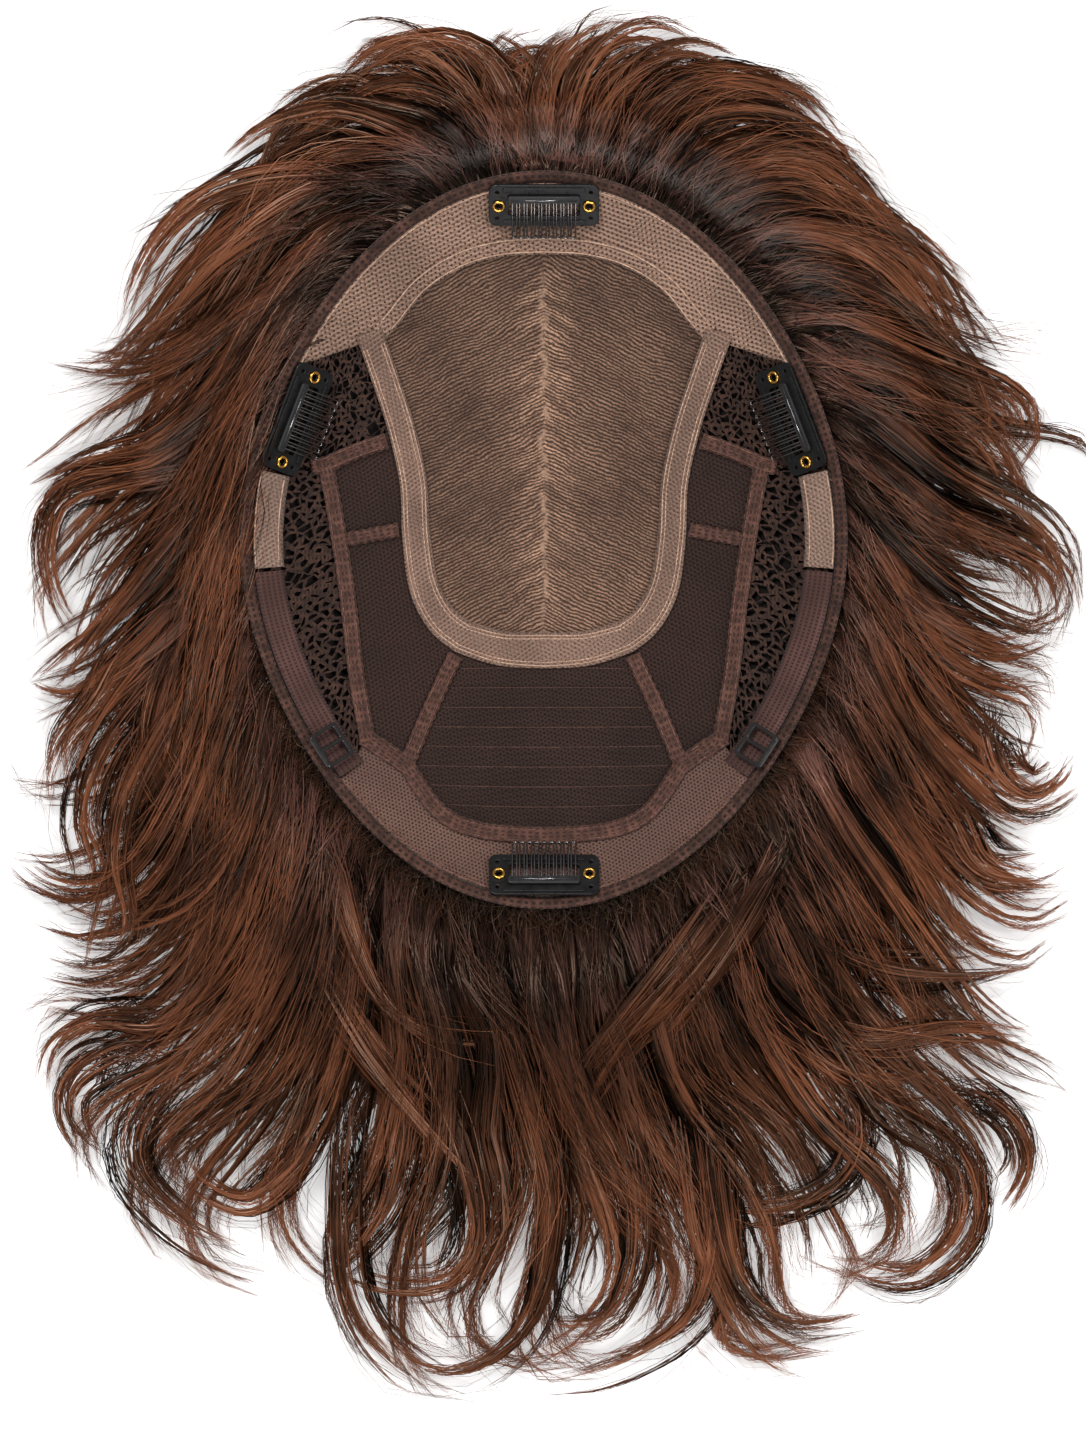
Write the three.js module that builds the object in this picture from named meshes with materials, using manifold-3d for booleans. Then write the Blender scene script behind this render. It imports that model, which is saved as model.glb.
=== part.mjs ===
// Hair topper lying on a table with its open side up.
// Millimetres, +Z up, +Y towards the front hairline, origin on the table under the crown.
import * as THREE from 'three';
import { mergeVertices } from 'three/addons/utils/BufferGeometryUtils.js';
import Module from 'manifold-3d';

const wasm = await Module();
wasm.setup();

// Driving dimensions
const cap = {
  halfWidth: 88,
  halfLength: 107,
  depth: 38,
  crownHeight: 16,
  bowlPower: 2.1,
  frontWaist: 0.026,
  backWaist: 0.032,
};
const cloth = {
  wall: 1,
  layerGap: 0.6,
  seamGap: 0.6,
  cell: 10,
  stripCell: 9,
  rimSteps: 44,
};
const rimTapeWidth = 3.3;
const tape = {
  frontSeam: 4.6,
  borderSide: 7.8,
  borderBack: 10.4,
  borderTaper: 3.2,
  rib: 4.4,
  upperCross: 4.4,
  lowerCross: 4,
  diagonal: 4.4,
  corner: 5,
  back: 4.4,
};
const strap = {
  tabWidth: 8.1,
  width: 7.8,
  adjusterLength: 9,
  adjusterSide: 1.2,
  adjusterBar: 1.4,
  adjusterThick: 1.2,
  loopLength: 9,
};
const clip = {
  length: 32,
  width: 13.8,
  thick: 0.9,
  edge: 0.6,
  cornerCut: 2.4,
  bow: 0.5,
  windowLength: 20.5,
  windowWidth: 4.6,
  windowShift: 1.2,
  gripLength: 21,
  gripWidth: 2.6,
  gripThick: 1,
  combLength: 20,
  combReach: 3.6,
  toothCount: 8,
  toothWidth: 1.1,
  eyeletRadius: 1.7,
  eyeletBore: 1,
  eyeletHeight: 0.8,
  eyeletInset: 2.9,
};
const net = {
  frontColumns: 4,
  frontRows: 4,
  sideColumns: 4,
  sideRows: 8,
  openShare: 0.76,
};
const hair = {
  bedGap: 1.3,
  rimDrop: 5,
  rimStep: 2.2,
  wallInset: 4,
  frontReach: 24,
  sideReach: 40,
  backReach: 86,
  edgeHeight: 7,
  lockWidth: 14,
  lockThick: 8,
  tableGap: 0.3,
  bedSectors: 20,
  lockSteps: 4,
  lockRoot: 0.35,
  lockTip: 0.06,
  flickStart: 0.6,
  everyOther: [0.98, 0.89],
};

// The lace at the front and the band at the back are as wide as their clips need
const clipRoom = rimTapeWidth + clip.edge + clip.width + 2 * cloth.seamGap;
const frontReach = cap.halfLength - clipRoom - tape.frontSeam / 2;
const backReach = cap.halfLength - clipRoom - tape.back / 2;

// Places in the plan, left half: shares of cap.halfWidth and of the length in each heading
// From the lace corner (0) to frontReach (1)
const frontEdge = [[0, 1], [-0.145, 0.971], [-0.283, 0.842], [-0.409, 0.581], [-0.508, 0.204],
  [-0.57, 0]];
// Shares of cap.halfLength
const sideEdge = [[-0.57, 0.545], [-0.527, 0.444], [-0.475, 0.312], [-0.435, 0.163], [-0.425, 0.014],
  [-0.399, -0.122], [-0.342, -0.212], [-0.267, -0.262]];
const backEdge = [[-0.267, -0.262], [-0.14, -0.292], [0, -0.298]];
const upperCross = [[-0.468, 0.285], [-0.606, 0.25], [-0.722, 0.208]];
const lowerCross = [[-0.424, 0.04], [-0.678, 0]];
const ribLine = [[-0.722, 0.208], [-0.699, 0.108], [-0.672, -0.03], [-0.646, -0.184], [-0.622, -0.36],
  [-0.583, -0.54]];
const cornerLine = [[-0.583, -0.54], [-0.455, -0.61]];
const diagonalLine = [[-0.267, -0.262], [-0.372, -0.447], [-0.455, -0.61]];
// From the corner tape (0) to backReach (1)
const backLine = [[-0.455, 0], [-0.346, 0.655], [-0.211, 0.92], [0, 1]];

// Angles round the rim in degrees, from the right ear anticlockwise
const places = {
  laceEnd: 145,
  upperCrossEnd: 168,
  tabEnd: 185.7,
  strapEnd: 223,
  bandStart: 229,
  sideClip: 154.5,
};
const clipAngles = {
  front: 90,
  left: places.sideClip,
  right: 180 - places.sideClip,
  back: 270,
};

// Fans of locks, left half: each row is a run of locks along the rim.
// Roots, headings, turns and flicks in degrees, lengths in shares of cap.halfLength.
const fanColumns = ['locks', 'rootFrom', 'rootTo', 'headFrom', 'headTo', 'longFrom', 'longTo',
  'turnFrom', 'turnTo', 'flickFrom', 'flickTo'];
const fanRows = [
  [2, 92, 97, 78, 92, 0.95, 1.05, 100, 112, 16, 10],
  [4, 101, 123, 102, 140, 1.3, 1.02, 124, 98, 10, 10],
  [3, 129, 153, 156, 188, 0.78, 0.68, 82, 44, 0, -44],
  [4, 160, 190, 204, 226, 0.72, 0.88, 18, 8, -36, -60],
  [4, 197, 226, 236, 250, 1.0, 1.28, -8, -18, -42, -48],
  [4, 230, 255, 256, 268, 1.5, 1.42, -30, -8, 66, 100],
];
const middleRows = [
  [3, 262, 278, 268, 276, 1.42, 1.42, -10, 10, 80, -84],
];

const radians = THREE.MathUtils.degToRad;
const mix = THREE.MathUtils.lerp;
const smooth = (share) => THREE.MathUtils.smoothstep(share, 0, 1);
const lift = {
  panel: 0,
  tape: cloth.wall + cloth.layerGap,
  top: 2 * (cloth.wall + cloth.layerGap),
};

// The cap's bowl
function rimRadius(angle) {
  const c = Math.cos(angle);
  const s = Math.sin(angle);
  const ellipse = 1 / Math.hypot(c / cap.halfWidth, s / cap.halfLength);
  const waist = s > 0 ? cap.frontWaist : cap.backWaist;
  return ellipse * (1 - waist * Math.sin(2 * angle) ** 2);
}

function rimPoint(angle, inset = 0) {
  const step = 0.01;
  const at = (a) => new THREE.Vector2(Math.cos(a), Math.sin(a)).multiplyScalar(rimRadius(a));
  const along = at(angle + step).sub(at(angle - step)).normalize();
  return at(angle).add(new THREE.Vector2(-along.y, along.x).multiplyScalar(inset));
}

function rimArc(fromDegrees, toDegrees, inset, count) {
  const points = [];
  for (let i = 0; i <= count; i += 1) {
    points.push(rimPoint(radians(mix(fromDegrees, toDegrees, i / count)), inset));
  }
  return points;
}

function rimTurn(degrees, distance) {
  const step = 0.01;
  const angle = radians(degrees);
  const speed = rimPoint(angle + step).distanceTo(rimPoint(angle - step)) / (2 * step);
  return degrees + THREE.MathUtils.radToDeg(distance / speed);
}

function bowlHeight(x, y) {
  const share = Math.hypot(x, y) / rimRadius(Math.atan2(y, x));
  return cap.crownHeight + cap.depth * share ** cap.bowlPower;
}

function bowlNormal(x, y) {
  const step = 0.05;
  const slopeX = (bowlHeight(x + step, y) - bowlHeight(x - step, y)) / (2 * step);
  const slopeY = (bowlHeight(x, y + step) - bowlHeight(x, y - step)) / (2 * step);
  return new THREE.Vector3(-slopeX, -slopeY, 1).normalize();
}

// A point straight over its place in the plan, this far from the bowl's surface
function onCap(point, height) {
  const rise = height / bowlNormal(point.x, point.y).z;
  return new THREE.Vector3(point.x, point.y, bowlHeight(point.x, point.y) + rise);
}

// Plan curves
const place = ([u, v]) => new THREE.Vector2(u * cap.halfWidth, v * cap.halfLength);
const placeFront = ([u, share]) => place([u, mix(sideEdge[0][1], frontReach / cap.halfLength, share)]);
const placeBack = ([u, share]) => place([u, mix(cornerLine[1][1], -backReach / cap.halfLength, share)]);
const mirrored = (points) => points.map((p) => new THREE.Vector2(-p.x, p.y));
const reversed = (points) => [...points].reverse();

function lengthOf(points) {
  let total = 0;
  points.slice(1).forEach((p, i) => { total += p.distanceTo(points[i]); });
  return total;
}

function spline(rows) {
  return new THREE.SplineCurve(rows.map((row) => (row.isVector2 ? row : place(row)))).getSpacedPoints(60);
}

function resample(points, count) {
  const total = lengthOf(points);
  const out = [];
  let walked = 0;
  let k = 0;
  for (let i = 0; i <= count; i += 1) {
    const target = total * i / count;
    while (k < points.length - 2 && walked + points[k].distanceTo(points[k + 1]) < target) {
      walked += points[k].distanceTo(points[k + 1]);
      k += 1;
    }
    const span = points[k].distanceTo(points[k + 1]);
    out.push(points[k].clone().lerp(points[k + 1], Math.min(1, (target - walked) / span)));
  }
  return out;
}

function trimmed(points, fromStart, fromEnd) {
  const total = lengthOf(points);
  const fine = resample(points, 400);
  const keep = fine.filter((p, i) => {
    const at = total * i / 400;
    return at >= fromStart && at <= total - fromEnd;
  });
  return keep;
}

function offsetLine(points, distance) {
  return points.map((p, i) => {
    const before = points[Math.max(0, i - 1)];
    const after = points[Math.min(points.length - 1, i + 1)];
    const along = after.clone().sub(before).normalize();
    const width = typeof distance === 'function' ? distance(i / (points.length - 1)) : distance;
    return p.clone().add(new THREE.Vector2(-along.y, along.x).multiplyScalar(width));
  });
}

// Sheets: a grid of plan points draped on the bowl as a wall
const cellsAlong = (a, b) => Math.max(1, Math.round(Math.max(lengthOf(a), lengthOf(b)) / cloth.cell));

function fourSided(start, end, left, right, columns = cellsAlong(start, end),
  rows = cellsAlong(left, right)) {
  const a = resample(start, columns);
  const b = resample(end, columns);
  const c = resample(left, rows);
  const d = resample(right, rows);
  const grid = [];
  for (let j = 0; j <= rows; j += 1) {
    const t = j / rows;
    const line = [];
    for (let i = 0; i <= columns; i += 1) {
      const s = i / columns;
      const p = a[i].clone().lerp(b[i], t).add(c[j].clone().lerp(d[j], s));
      p.sub(a[0].clone().lerp(a[columns], s).lerp(b[0].clone().lerp(b[columns], s), t));
      line.push(p);
    }
    grid.push(line);
  }
  return shrunk(grid, cloth.seamGap / 2);
}

function edgeLoop(grid) {
  const rows = grid.length - 1;
  const columns = grid[0].length - 1;
  const loop = [];
  for (let i = 0; i < columns; i += 1) loop.push([0, i]);
  for (let j = 0; j < rows; j += 1) loop.push([j, columns]);
  for (let i = columns; i > 0; i -= 1) loop.push([rows, i]);
  for (let j = rows; j > 0; j -= 1) loop.push([j, 0]);
  return loop;
}

function planArea(points) {
  return points.reduce((sum, p, i) => {
    const q = points[(i + 1) % points.length];
    return sum + (p.x * q.y - q.x * p.y) / 2;
  }, 0);
}

function shrunk(grid, distance) {
  const loop = edgeLoop(grid);
  const points = loop.map(([j, i]) => grid[j][i]);
  const side = Math.sign(planArea(points));
  const normals = points.map((p, k) => {
    const next = points[(k + 1) % points.length];
    const along = next.clone().sub(p).normalize();
    return new THREE.Vector2(-along.y * side, along.x * side);
  });
  const moved = points.map((p, k) => {
    const before = normals[(k + points.length - 1) % points.length];
    const bend = before.clone().add(normals[k]);
    return p.clone().addScaledVector(bend, distance / Math.max(0.5, 1 + before.dot(normals[k])));
  });
  const out = grid.map((line) => [...line]);
  loop.forEach(([j, i], k) => { out[j][i] = moved[k]; });
  return out;
}

function solidFrom(positions, faces) {
  const geometry = new THREE.BufferGeometry();
  const flat = new Float32Array(positions.flatMap((p) => [p.x, p.y, p.z]));
  geometry.setAttribute('position', new THREE.BufferAttribute(flat, 3));
  geometry.setIndex(faces.flat());
  return geometry;
}

function closedSheet(grid, points, faces, walls, bottom, top) {
  const columns = grid[0].length;
  const loop = edgeLoop(grid);
  const facingUp = planArea(loop.map(([j, i]) => grid[j][i])) > 0;
  const half = points.length;
  const positions = points.map((p) => onCap(p, top)).concat(points.map((p) => onCap(p, bottom)));
  const under = faces.map(([a, b, c]) => [a + half, c + half, b + half]);
  const sides = loop.flatMap(([j, i], k) => {
    const [nextJ, nextI] = loop[(k + 1) % loop.length];
    const a = j * columns + i;
    const b = nextJ * columns + nextI;
    return [[a, a + half, b + half], [a, b + half, b]];
  });
  const all = faces.concat(under, sides, walls);
  return solidFrom(positions, facingUp ? all : all.map(([a, b, c]) => [a, c, b]));
}

function sheet(grid, bottom, top) {
  const columns = grid[0].length;
  const faces = [];
  for (let j = 0; j < grid.length - 1; j += 1) {
    for (let i = 0; i < columns - 1; i += 1) {
      const a = j * columns + i;
      faces.push([a, a + 1, a + columns + 1], [a, a + columns + 1, a + columns]);
    }
  }
  return closedSheet(grid, grid.flat(), faces, [], bottom, top);
}

function strip(line, width, bottom, top) {
  const steps = Math.max(2, Math.round(lengthOf(line) / cloth.stripCell));
  const centre = resample(line, steps);
  const half = (sign) => (typeof width === 'function' ? (s) => sign * width(s) / 2 : sign * width / 2);
  return sheet([offsetLine(centre, half(1)), offsetLine(centre, half(-1))], bottom, top);
}

function rimRing(inset, width, bottom, top, steps) {
  const sections = [];
  for (let i = 0; i < steps; i += 1) {
    const angle = 2 * Math.PI * i / steps;
    const outer = rimPoint(angle, inset);
    const inner = rimPoint(angle, inset + width);
    sections.push([onCap(outer, bottom), onCap(outer, top), onCap(inner, top), onCap(inner, bottom)]);
  }
  return closedBand(sections);
}

function closedBand(sections) {
  const sides = sections[0].length;
  const faces = [];
  sections.forEach((_, i) => {
    const here = i * sides;
    const next = ((i + 1) % sections.length) * sides;
    for (let k = 0; k < sides; k += 1) {
      const m = (k + 1) % sides;
      faces.push([here + k, next + k, next + m], [here + k, next + m, here + m]);
    }
  });
  return solidFrom(sections.flat(), faces);
}

// Cutting and joining
function toSolid(geometry) {
  const bare = geometry.clone();
  bare.deleteAttribute('normal');
  bare.deleteAttribute('uv');
  const merged = mergeVertices(bare, 1e-4);
  const data = { numProp: 3, vertProperties: new Float32Array(merged.attributes.position.array),
    triVerts: new Uint32Array(merged.index.array) };
  return new wasm.Manifold(new wasm.Mesh(data));
}

function fromSolid(solid) {
  const data = solid.getMesh();
  const geometry = new THREE.BufferGeometry();
  geometry.setAttribute('position', new THREE.BufferAttribute(new Float32Array(data.vertProperties), 3));
  geometry.setIndex(Array.from(data.triVerts));
  return geometry;
}

// Nets: a lozenge gap through every cell of the sheet
function netSheet(grid, bottom, top) {
  const rows = grid.length;
  const columns = grid[0].length;
  const corners = grid.flat();
  const lozenges = [];
  for (let j = 0; j < rows - 1; j += 1) {
    for (let i = 0; i < columns - 1; i += 1) {
      const cell = [grid[j][i], grid[j][i + 1], grid[j + 1][i + 1], grid[j + 1][i]];
      const middle = cell[0].clone().add(cell[1]).add(cell[2]).add(cell[3]).divideScalar(4);
      cell.forEach((p, k) => {
        const edge = p.clone().lerp(cell[(k + 1) % 4], 0.5);
        lozenges.push(middle.clone().lerp(edge, net.openShare));
      });
    }
  }
  const points = corners.concat(lozenges);
  const half = points.length;
  const at = (j, i) => j * columns + i;
  const faces = [];
  const walls = [];
  let first = corners.length;
  for (let j = 0; j < rows - 1; j += 1) {
    for (let i = 0; i < columns - 1; i += 1) {
      const cell = [at(j, i), at(j, i + 1), at(j + 1, i + 1), at(j + 1, i)];
      for (let k = 0; k < 4; k += 1) {
        const here = first + k;
        const before = first + (k + 3) % 4;
        faces.push([cell[k], cell[(k + 1) % 4], here], [cell[k], here, before]);
        walls.push([before, here, here + half], [before, here + half, before + half]);
      }
      first += 4;
    }
  }
  return closedSheet(grid, points, faces, walls, bottom, top);
}

// Clips: flat plates drawn along the rim (u), inwards (v) and up from the cap (w)
function seat(group, degrees, inset, halfWidth, corners, height) {
  const angle = radians(degrees);
  const step = 0.01;
  const near = rimPoint(angle, inset + halfWidth);
  const up = bowlNormal(near.x, near.y);
  const middle = rimPoint(angle, inset + halfWidth * up.z);
  const along = rimPoint(angle + step).sub(rimPoint(angle - step)).normalize();
  const across = new THREE.Vector3().crossVectors(up, new THREE.Vector3(along.x, along.y, 0)).normalize();
  const forward = new THREE.Vector3().crossVectors(across, up);
  const origin = onCap(middle, 0);
  const needed = corners.map(([u, v, w]) => {
    const p = origin.clone().addScaledVector(forward, u).addScaledVector(across, v).addScaledVector(up, w);
    return height / bowlNormal(p.x, p.y).z - (p.z - bowlHeight(p.x, p.y));
  });
  origin.z += Math.max(...needed);
  group.matrixAutoUpdate = false;
  group.matrix.makeBasis(forward, across, up).setPosition(origin);
}

function bar(path, centreU, centreV, length, width, steps, cut = 0) {
  const end = Math.min(cut, width / 3);
  const u0 = centreU - length / 2;
  const v0 = centreV - width / 2;
  const points = [];
  for (let i = 0; i <= steps; i += 1) points.push([mix(u0 + end, u0 + length - end, i / steps), v0]);
  if (cut) points.push([u0 + length, v0 + end], [u0 + length, v0 + width - end]);
  for (let i = steps; i >= 0; i -= 1) {
    points.push([mix(u0 + end, u0 + length - end, i / steps), v0 + width]);
  }
  if (cut) points.push([u0, v0 + width - end], [u0, v0 + end]);
  path.setFromPoints(points.map(bowed));
  return path;
}

function bowed([u, v]) {
  return new THREE.Vector2(u, v - clip.bow * (1 - (2 * u / clip.length) ** 2));
}

function plate(shape, thick, height) {
  const geometry = new THREE.ExtrudeGeometry(shape, { depth: thick, bevelEnabled: false, curveSegments: 2 });
  return geometry.translate(0, 0, height);
}

const clipTop = clip.thick + cloth.layerGap / 2;
const eyeletPlaces = () => [-1, 1].map((side) => side * (clip.length / 2 - clip.eyeletInset));

function clipPlate() {
  const shape = bar(new THREE.Shape(), 0, 0, clip.length, clip.width, 4, clip.cornerCut);
  shape.holes.push(bar(new THREE.Path(), 0, clip.windowShift, clip.windowLength, clip.windowWidth, 2));
  eyeletPlaces().forEach((u) => {
    const hole = new THREE.Path();
    hole.absarc(u, 0, clip.eyeletBore, 0, 2 * Math.PI, true);
    shape.holes.push(new THREE.Path(hole.getSpacedPoints(6).slice(0, 6)));
  });
  return plate(shape, clip.thick, 0);
}

function clipGrip() {
  const centre = clip.windowShift - clip.windowWidth / 2 - clip.gripWidth / 2;
  return plate(bar(new THREE.Shape(), 0, centre, clip.gripLength, clip.gripWidth, 2), clip.gripThick,
    clipTop);
}

function clipComb() {
  const root = clip.windowShift - clip.windowWidth / 2 + cloth.layerGap;
  const tip = clip.width / 2 + clip.combReach;
  const pitch = clip.combLength / clip.toothCount;
  const half = clip.toothWidth / 2;
  const points = [[-clip.combLength / 2, root], [clip.combLength / 2, root]];
  for (let k = clip.toothCount - 1; k >= 0; k -= 1) {
    const u = (k + 0.5) * pitch - clip.combLength / 2;
    points.push([u + half, root + clip.toothWidth], [u + half, tip], [u - half, tip],
      [u - half, root + clip.toothWidth]);
  }
  return plate(new THREE.Shape(points.map(bowed)), clip.toothWidth, clipTop);
}

function clipEyelet(u) {
  const sides = 6;
  const profile = [[clip.eyeletBore, 0], [clip.eyeletRadius, 0], [clip.eyeletRadius, clip.eyeletHeight],
    [clip.eyeletBore, clip.eyeletHeight], [clip.eyeletBore, 0]].map(([r, w]) => new THREE.Vector2(r, w));
  const ring = new THREE.LatheGeometry(profile, sides);
  return ring.rotateX(Math.PI / 2).translate(u, 0, clipTop);
}

// Adjusters: a flat frame with a middle bar, over the end of the elastic
function adjuster() {
  const width = strap.width + 2 * strap.adjusterSide;
  const shape = bar(new THREE.Shape(), 0, 0, strap.adjusterLength, width, 1, strap.adjusterSide);
  const slot = (strap.adjusterLength - 3 * strap.adjusterBar) / 2;
  [-1, 1].forEach((side) => {
    const centre = side * (slot + strap.adjusterBar) / 2;
    shape.holes.push(bar(new THREE.Path(), centre, 0, slot, strap.width, 1));
  });
  return plate(shape, strap.adjusterThick, 0);
}

// Hair: a bowl-shaped bed under and round the cap with tapered locks lying on it
function bedReach(angle) {
  const front = Math.max(0, Math.sin(angle));
  const back = Math.max(0, -Math.sin(angle));
  return hair.sideReach + (hair.backReach - hair.sideReach) * back ** 0.9
    - (hair.sideReach - hair.frontReach) * front ** 4;
}

function moundHeight(x, y) {
  const angle = Math.atan2(y, x);
  const out = Math.hypot(x, y) - rimRadius(angle);
  const crest = cap.crownHeight + cap.depth - hair.rimDrop;
  if (out < 0) return Math.min(crest, bowlHeight(x, y) - hair.bedGap);
  return mix(crest, hair.edgeHeight, smooth(out / bedReach(angle)));
}

// Corners at a share of the rim's radius, turned into one radial section for each sector
function bedSections(sectionAt) {
  return Array.from({ length: hair.bedSectors }, (_, i) => {
    const angle = 2 * Math.PI * i / hair.bedSectors;
    const at = (r, z) => new THREE.Vector3(r * Math.cos(angle), r * Math.sin(angle), z);
    return sectionAt(rimRadius(angle), angle, at);
  });
}

const bedTop = (p) => onCap(p, -hair.bedGap).z;

// The hair right under the cap: a flat-bottomed block with the bowl in its top
function hairBed() {
  const shares = [1, 0.8, 0.56, 0.3];
  const sections = bedSections((rim, angle, at) => {
    const edge = rim - hair.wallInset;
    return [at(edge, 0), ...shares.map((share) => at(edge * share, bedTop(at(edge * share, 0))))];
  });
  const sides = sections[0].length;
  const faces = [];
  const crown = sections.length * sides;
  sections.forEach((_, i) => {
    const here = i * sides;
    const next = ((i + 1) % sections.length) * sides;
    for (let k = 0; k < sides - 1; k += 1) {
      faces.push([here + k, next + k, next + k + 1], [here + k, next + k + 1, here + k + 1]);
    }
    faces.push([here + sides - 1, next + sides - 1, crown], [next, here, crown + 1]);
  });
  const top = new THREE.Vector3(0, 0, cap.crownHeight - hair.bedGap);
  return solidFrom([...sections.flat(), top, new THREE.Vector3(0, 0, 0)], faces);
}

// The hair beside the cap: a ring that falls from the rim to the table
function hairRing() {
  const shares = [1, 0.72, 0.45, 0.2, 0];
  return closedBand(bedSections((rim, angle, at) => {
    const inner = rim - hair.wallInset + cloth.layerGap;
    const beside = shares.map((share) => {
      const r = rim + hair.rimStep + share * (bedReach(angle) - hair.rimStep);
      return at(r, moundHeight(r * Math.cos(angle), r * Math.sin(angle)));
    });
    const under = Math.min(bedTop(at(rim, 0)), cap.crownHeight + cap.depth - hair.rimDrop);
    const inside = [at(rim, under), at(inner, bedTop(at(inner, 0))), at(inner, 0)];
    return [at(rim + bedReach(angle), 0), ...beside, ...inside];
  }));
}

const named = (row) => Object.fromEntries(fanColumns.map((column, k) => [column, row[k]]));

function fanLocks(row, side) {
  const fan = named(row);
  const locks = [];
  for (let i = 0; i < fan.locks; i += 1) {
    const share = fan.locks > 1 ? i / (fan.locks - 1) : 0.5;
    const root = mix(fan.rootFrom, fan.rootTo, share);
    const heading = mix(fan.headFrom, fan.headTo, share);
    locks.push({
      root: radians(side > 0 ? root : 180 - root),
      heading: radians(side > 0 ? heading : 180 - heading),
      long: cap.halfLength * mix(fan.longFrom, fan.longTo, share) * hair.everyOther[i % 2],
      turn: radians(side * mix(fan.turnFrom, fan.turnTo, share)),
      flick: radians(side * mix(fan.flickFrom, fan.flickTo, share)),
    });
  }
  return locks;
}

function lockPath(lock, steps) {
  const substeps = 6;
  const total = steps * substeps;
  const start = rimPoint(lock.root);
  const points = [start.clone()];
  const here = start.clone();
  for (let k = 0; k < total; k += 1) {
    const share = (k + 0.5) / total;
    const late = Math.max(0, (share - hair.flickStart) / (1 - hair.flickStart));
    const heading = lock.heading + lock.turn * (1 - (1 - share) ** 2) + lock.flick * late ** 1.5;
    here.x += Math.cos(heading) * lock.long / total;
    here.y += Math.sin(heading) * lock.long / total;
    if ((k + 1) % substeps === 0) points.push(here.clone());
  }
  return points;
}

function lockSolid(lock) {
  const steps = hair.lockSteps;
  const points = lockPath(lock, steps);
  const positions = [];
  points.forEach((p, k) => {
    const share = k / steps;
    const before = points[Math.max(0, k - 1)];
    const after = points[Math.min(steps, k + 1)];
    const along = after.clone().sub(before).normalize();
    const taper = Math.min(1, hair.lockRoot + 2.2 * share) * (1 - share ** 2.2) + hair.lockTip;
    const wide = hair.lockWidth / 2 * taper;
    const thick = hair.lockThick / 2 * taper;
    const z = Math.max(moundHeight(p.x, p.y), thick + hair.tableGap);
    const low = Math.max(hair.tableGap, z - thick);
    positions.push(new THREE.Vector3(p.x - along.y * wide, p.y + along.x * wide, low));
    positions.push(new THREE.Vector3(p.x, p.y, z + thick));
    positions.push(new THREE.Vector3(p.x + along.y * wide, p.y - along.x * wide, low));
  });
  const faces = [[0, 2, 1]];
  for (let k = 0; k < steps; k += 1) {
    for (let m = 0; m < 3; m += 1) {
      const a = 3 * k + m;
      const b = 3 * k + (m + 1) % 3;
      faces.push([a, b + 3, a + 3], [a, b, b + 3]);
    }
  }
  const last = 3 * steps;
  faces.push([last, last + 1, last + 2]);
  return solidFrom(positions, faces);
}

function hairMass() {
  let solid = toSolid(hairRing());
  const locks = [
    ...fanRows.flatMap((row) => [...fanLocks(row, 1), ...fanLocks(row, -1)]),
    ...middleRows.flatMap((row) => fanLocks(row, 1)),
  ];
  locks.forEach((lock) => { solid = solid.add(toSolid(lockSolid(lock))); });
  return fromSolid(outerShell(solid));
}

// Small pockets shut in under the locks are filled
function outerShell(solid) {
  return solid.decompose().reduce((best, shell) => (shell.volume() > best.volume() ? shell : best));
}

// Materials
const finish = (color, roughness, metalness = 0) => new THREE.MeshStandardMaterial({ color, roughness,
  metalness });
const finishes = {
  lace: () => finish(0x96785f, 0.85),
  mono: () => finish(0x8a6e5a, 0.85),
  tab: () => finish(0xae9180, 0.8),
  net: () => finish(0x46322a, 0.9),
  mesh: () => finish(0x4a352d, 0.9),
  tape: () => finish(0x5c443b, 0.85),
  elastic: () => finish(0x58423c, 0.8),
  plastic: () => finish(0x141416, 0.35),
  wire: () => finish(0x3a3a3e, 0.3, 0.8),
  brass: () => finish(0xb98a3e, 0.3, 1),
  hair: () => finish(0x4a2a1e, 0.45),
};

// Assembly
const topper = new THREE.Group();

function addPiece(parent, name, geometry, material) {
  const bare = geometry.clone();
  bare.computeVertexNormals();
  const mesh = new THREE.Mesh(bare, material);
  mesh.name = name;
  parent.add(mesh);
}

const netPanel = (grid) => netSheet(grid, lift.panel, lift.panel + cloth.wall);
const panel = (grid) => sheet(grid, lift.panel, lift.panel + cloth.wall);
const overlay = (line, width) => strip(line, width, lift.tape, lift.tape + cloth.wall);
const panelInset = rimTapeWidth + cloth.seamGap / 2;
const arc = (from, to) => rimArc(from, to, panelInset, 60);

function sideLines(flip) {
  const turned = (points) => (flip ? mirrored(points) : points);
  const rimSpan = (from, to) => turned(arc(from, to));
  const laceEnd = rimPoint(radians(places.laceEnd), panelInset);
  const crossEnd = rimPoint(radians(places.upperCrossEnd), panelInset);
  const bandEnd = rimPoint(radians(places.bandStart), panelInset);
  const side = spline(sideEdge);
  const rib = spline(ribLine);
  const crossStart = nearest(side, place(upperCross[0]));
  const lowerEnd = nearest(side, place(lowerCross[0]));
  const lowerStart = nearest(rib, place(lowerCross[1]));
  return {
    rimSpan,
    side: turned(side),
    front: turned(spline(frontEdge.map(placeFront))),
    back: turned(spline(backEdge)),
    lace: turned(spline([side[0], laceEnd])),
    upper: turned(spline([side[crossStart], upperCross[1], upperCross[2]])),
    upperOuter: turned(spline([upperCross[2], crossEnd])),
    rib: turned(rib),
    lower: turned(spline([side[lowerEnd], rib[lowerStart]])),
    corner: turned(spline(cornerLine)),
    diagonal: turned(spline(diagonalLine)),
    backLine: turned(spline(backLine.map(placeBack))),
    bandTop: turned(spline([cornerLine[0], bandEnd])),
    crossStart,
    lowerEnd,
    lowerStart,
  };
}

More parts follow.
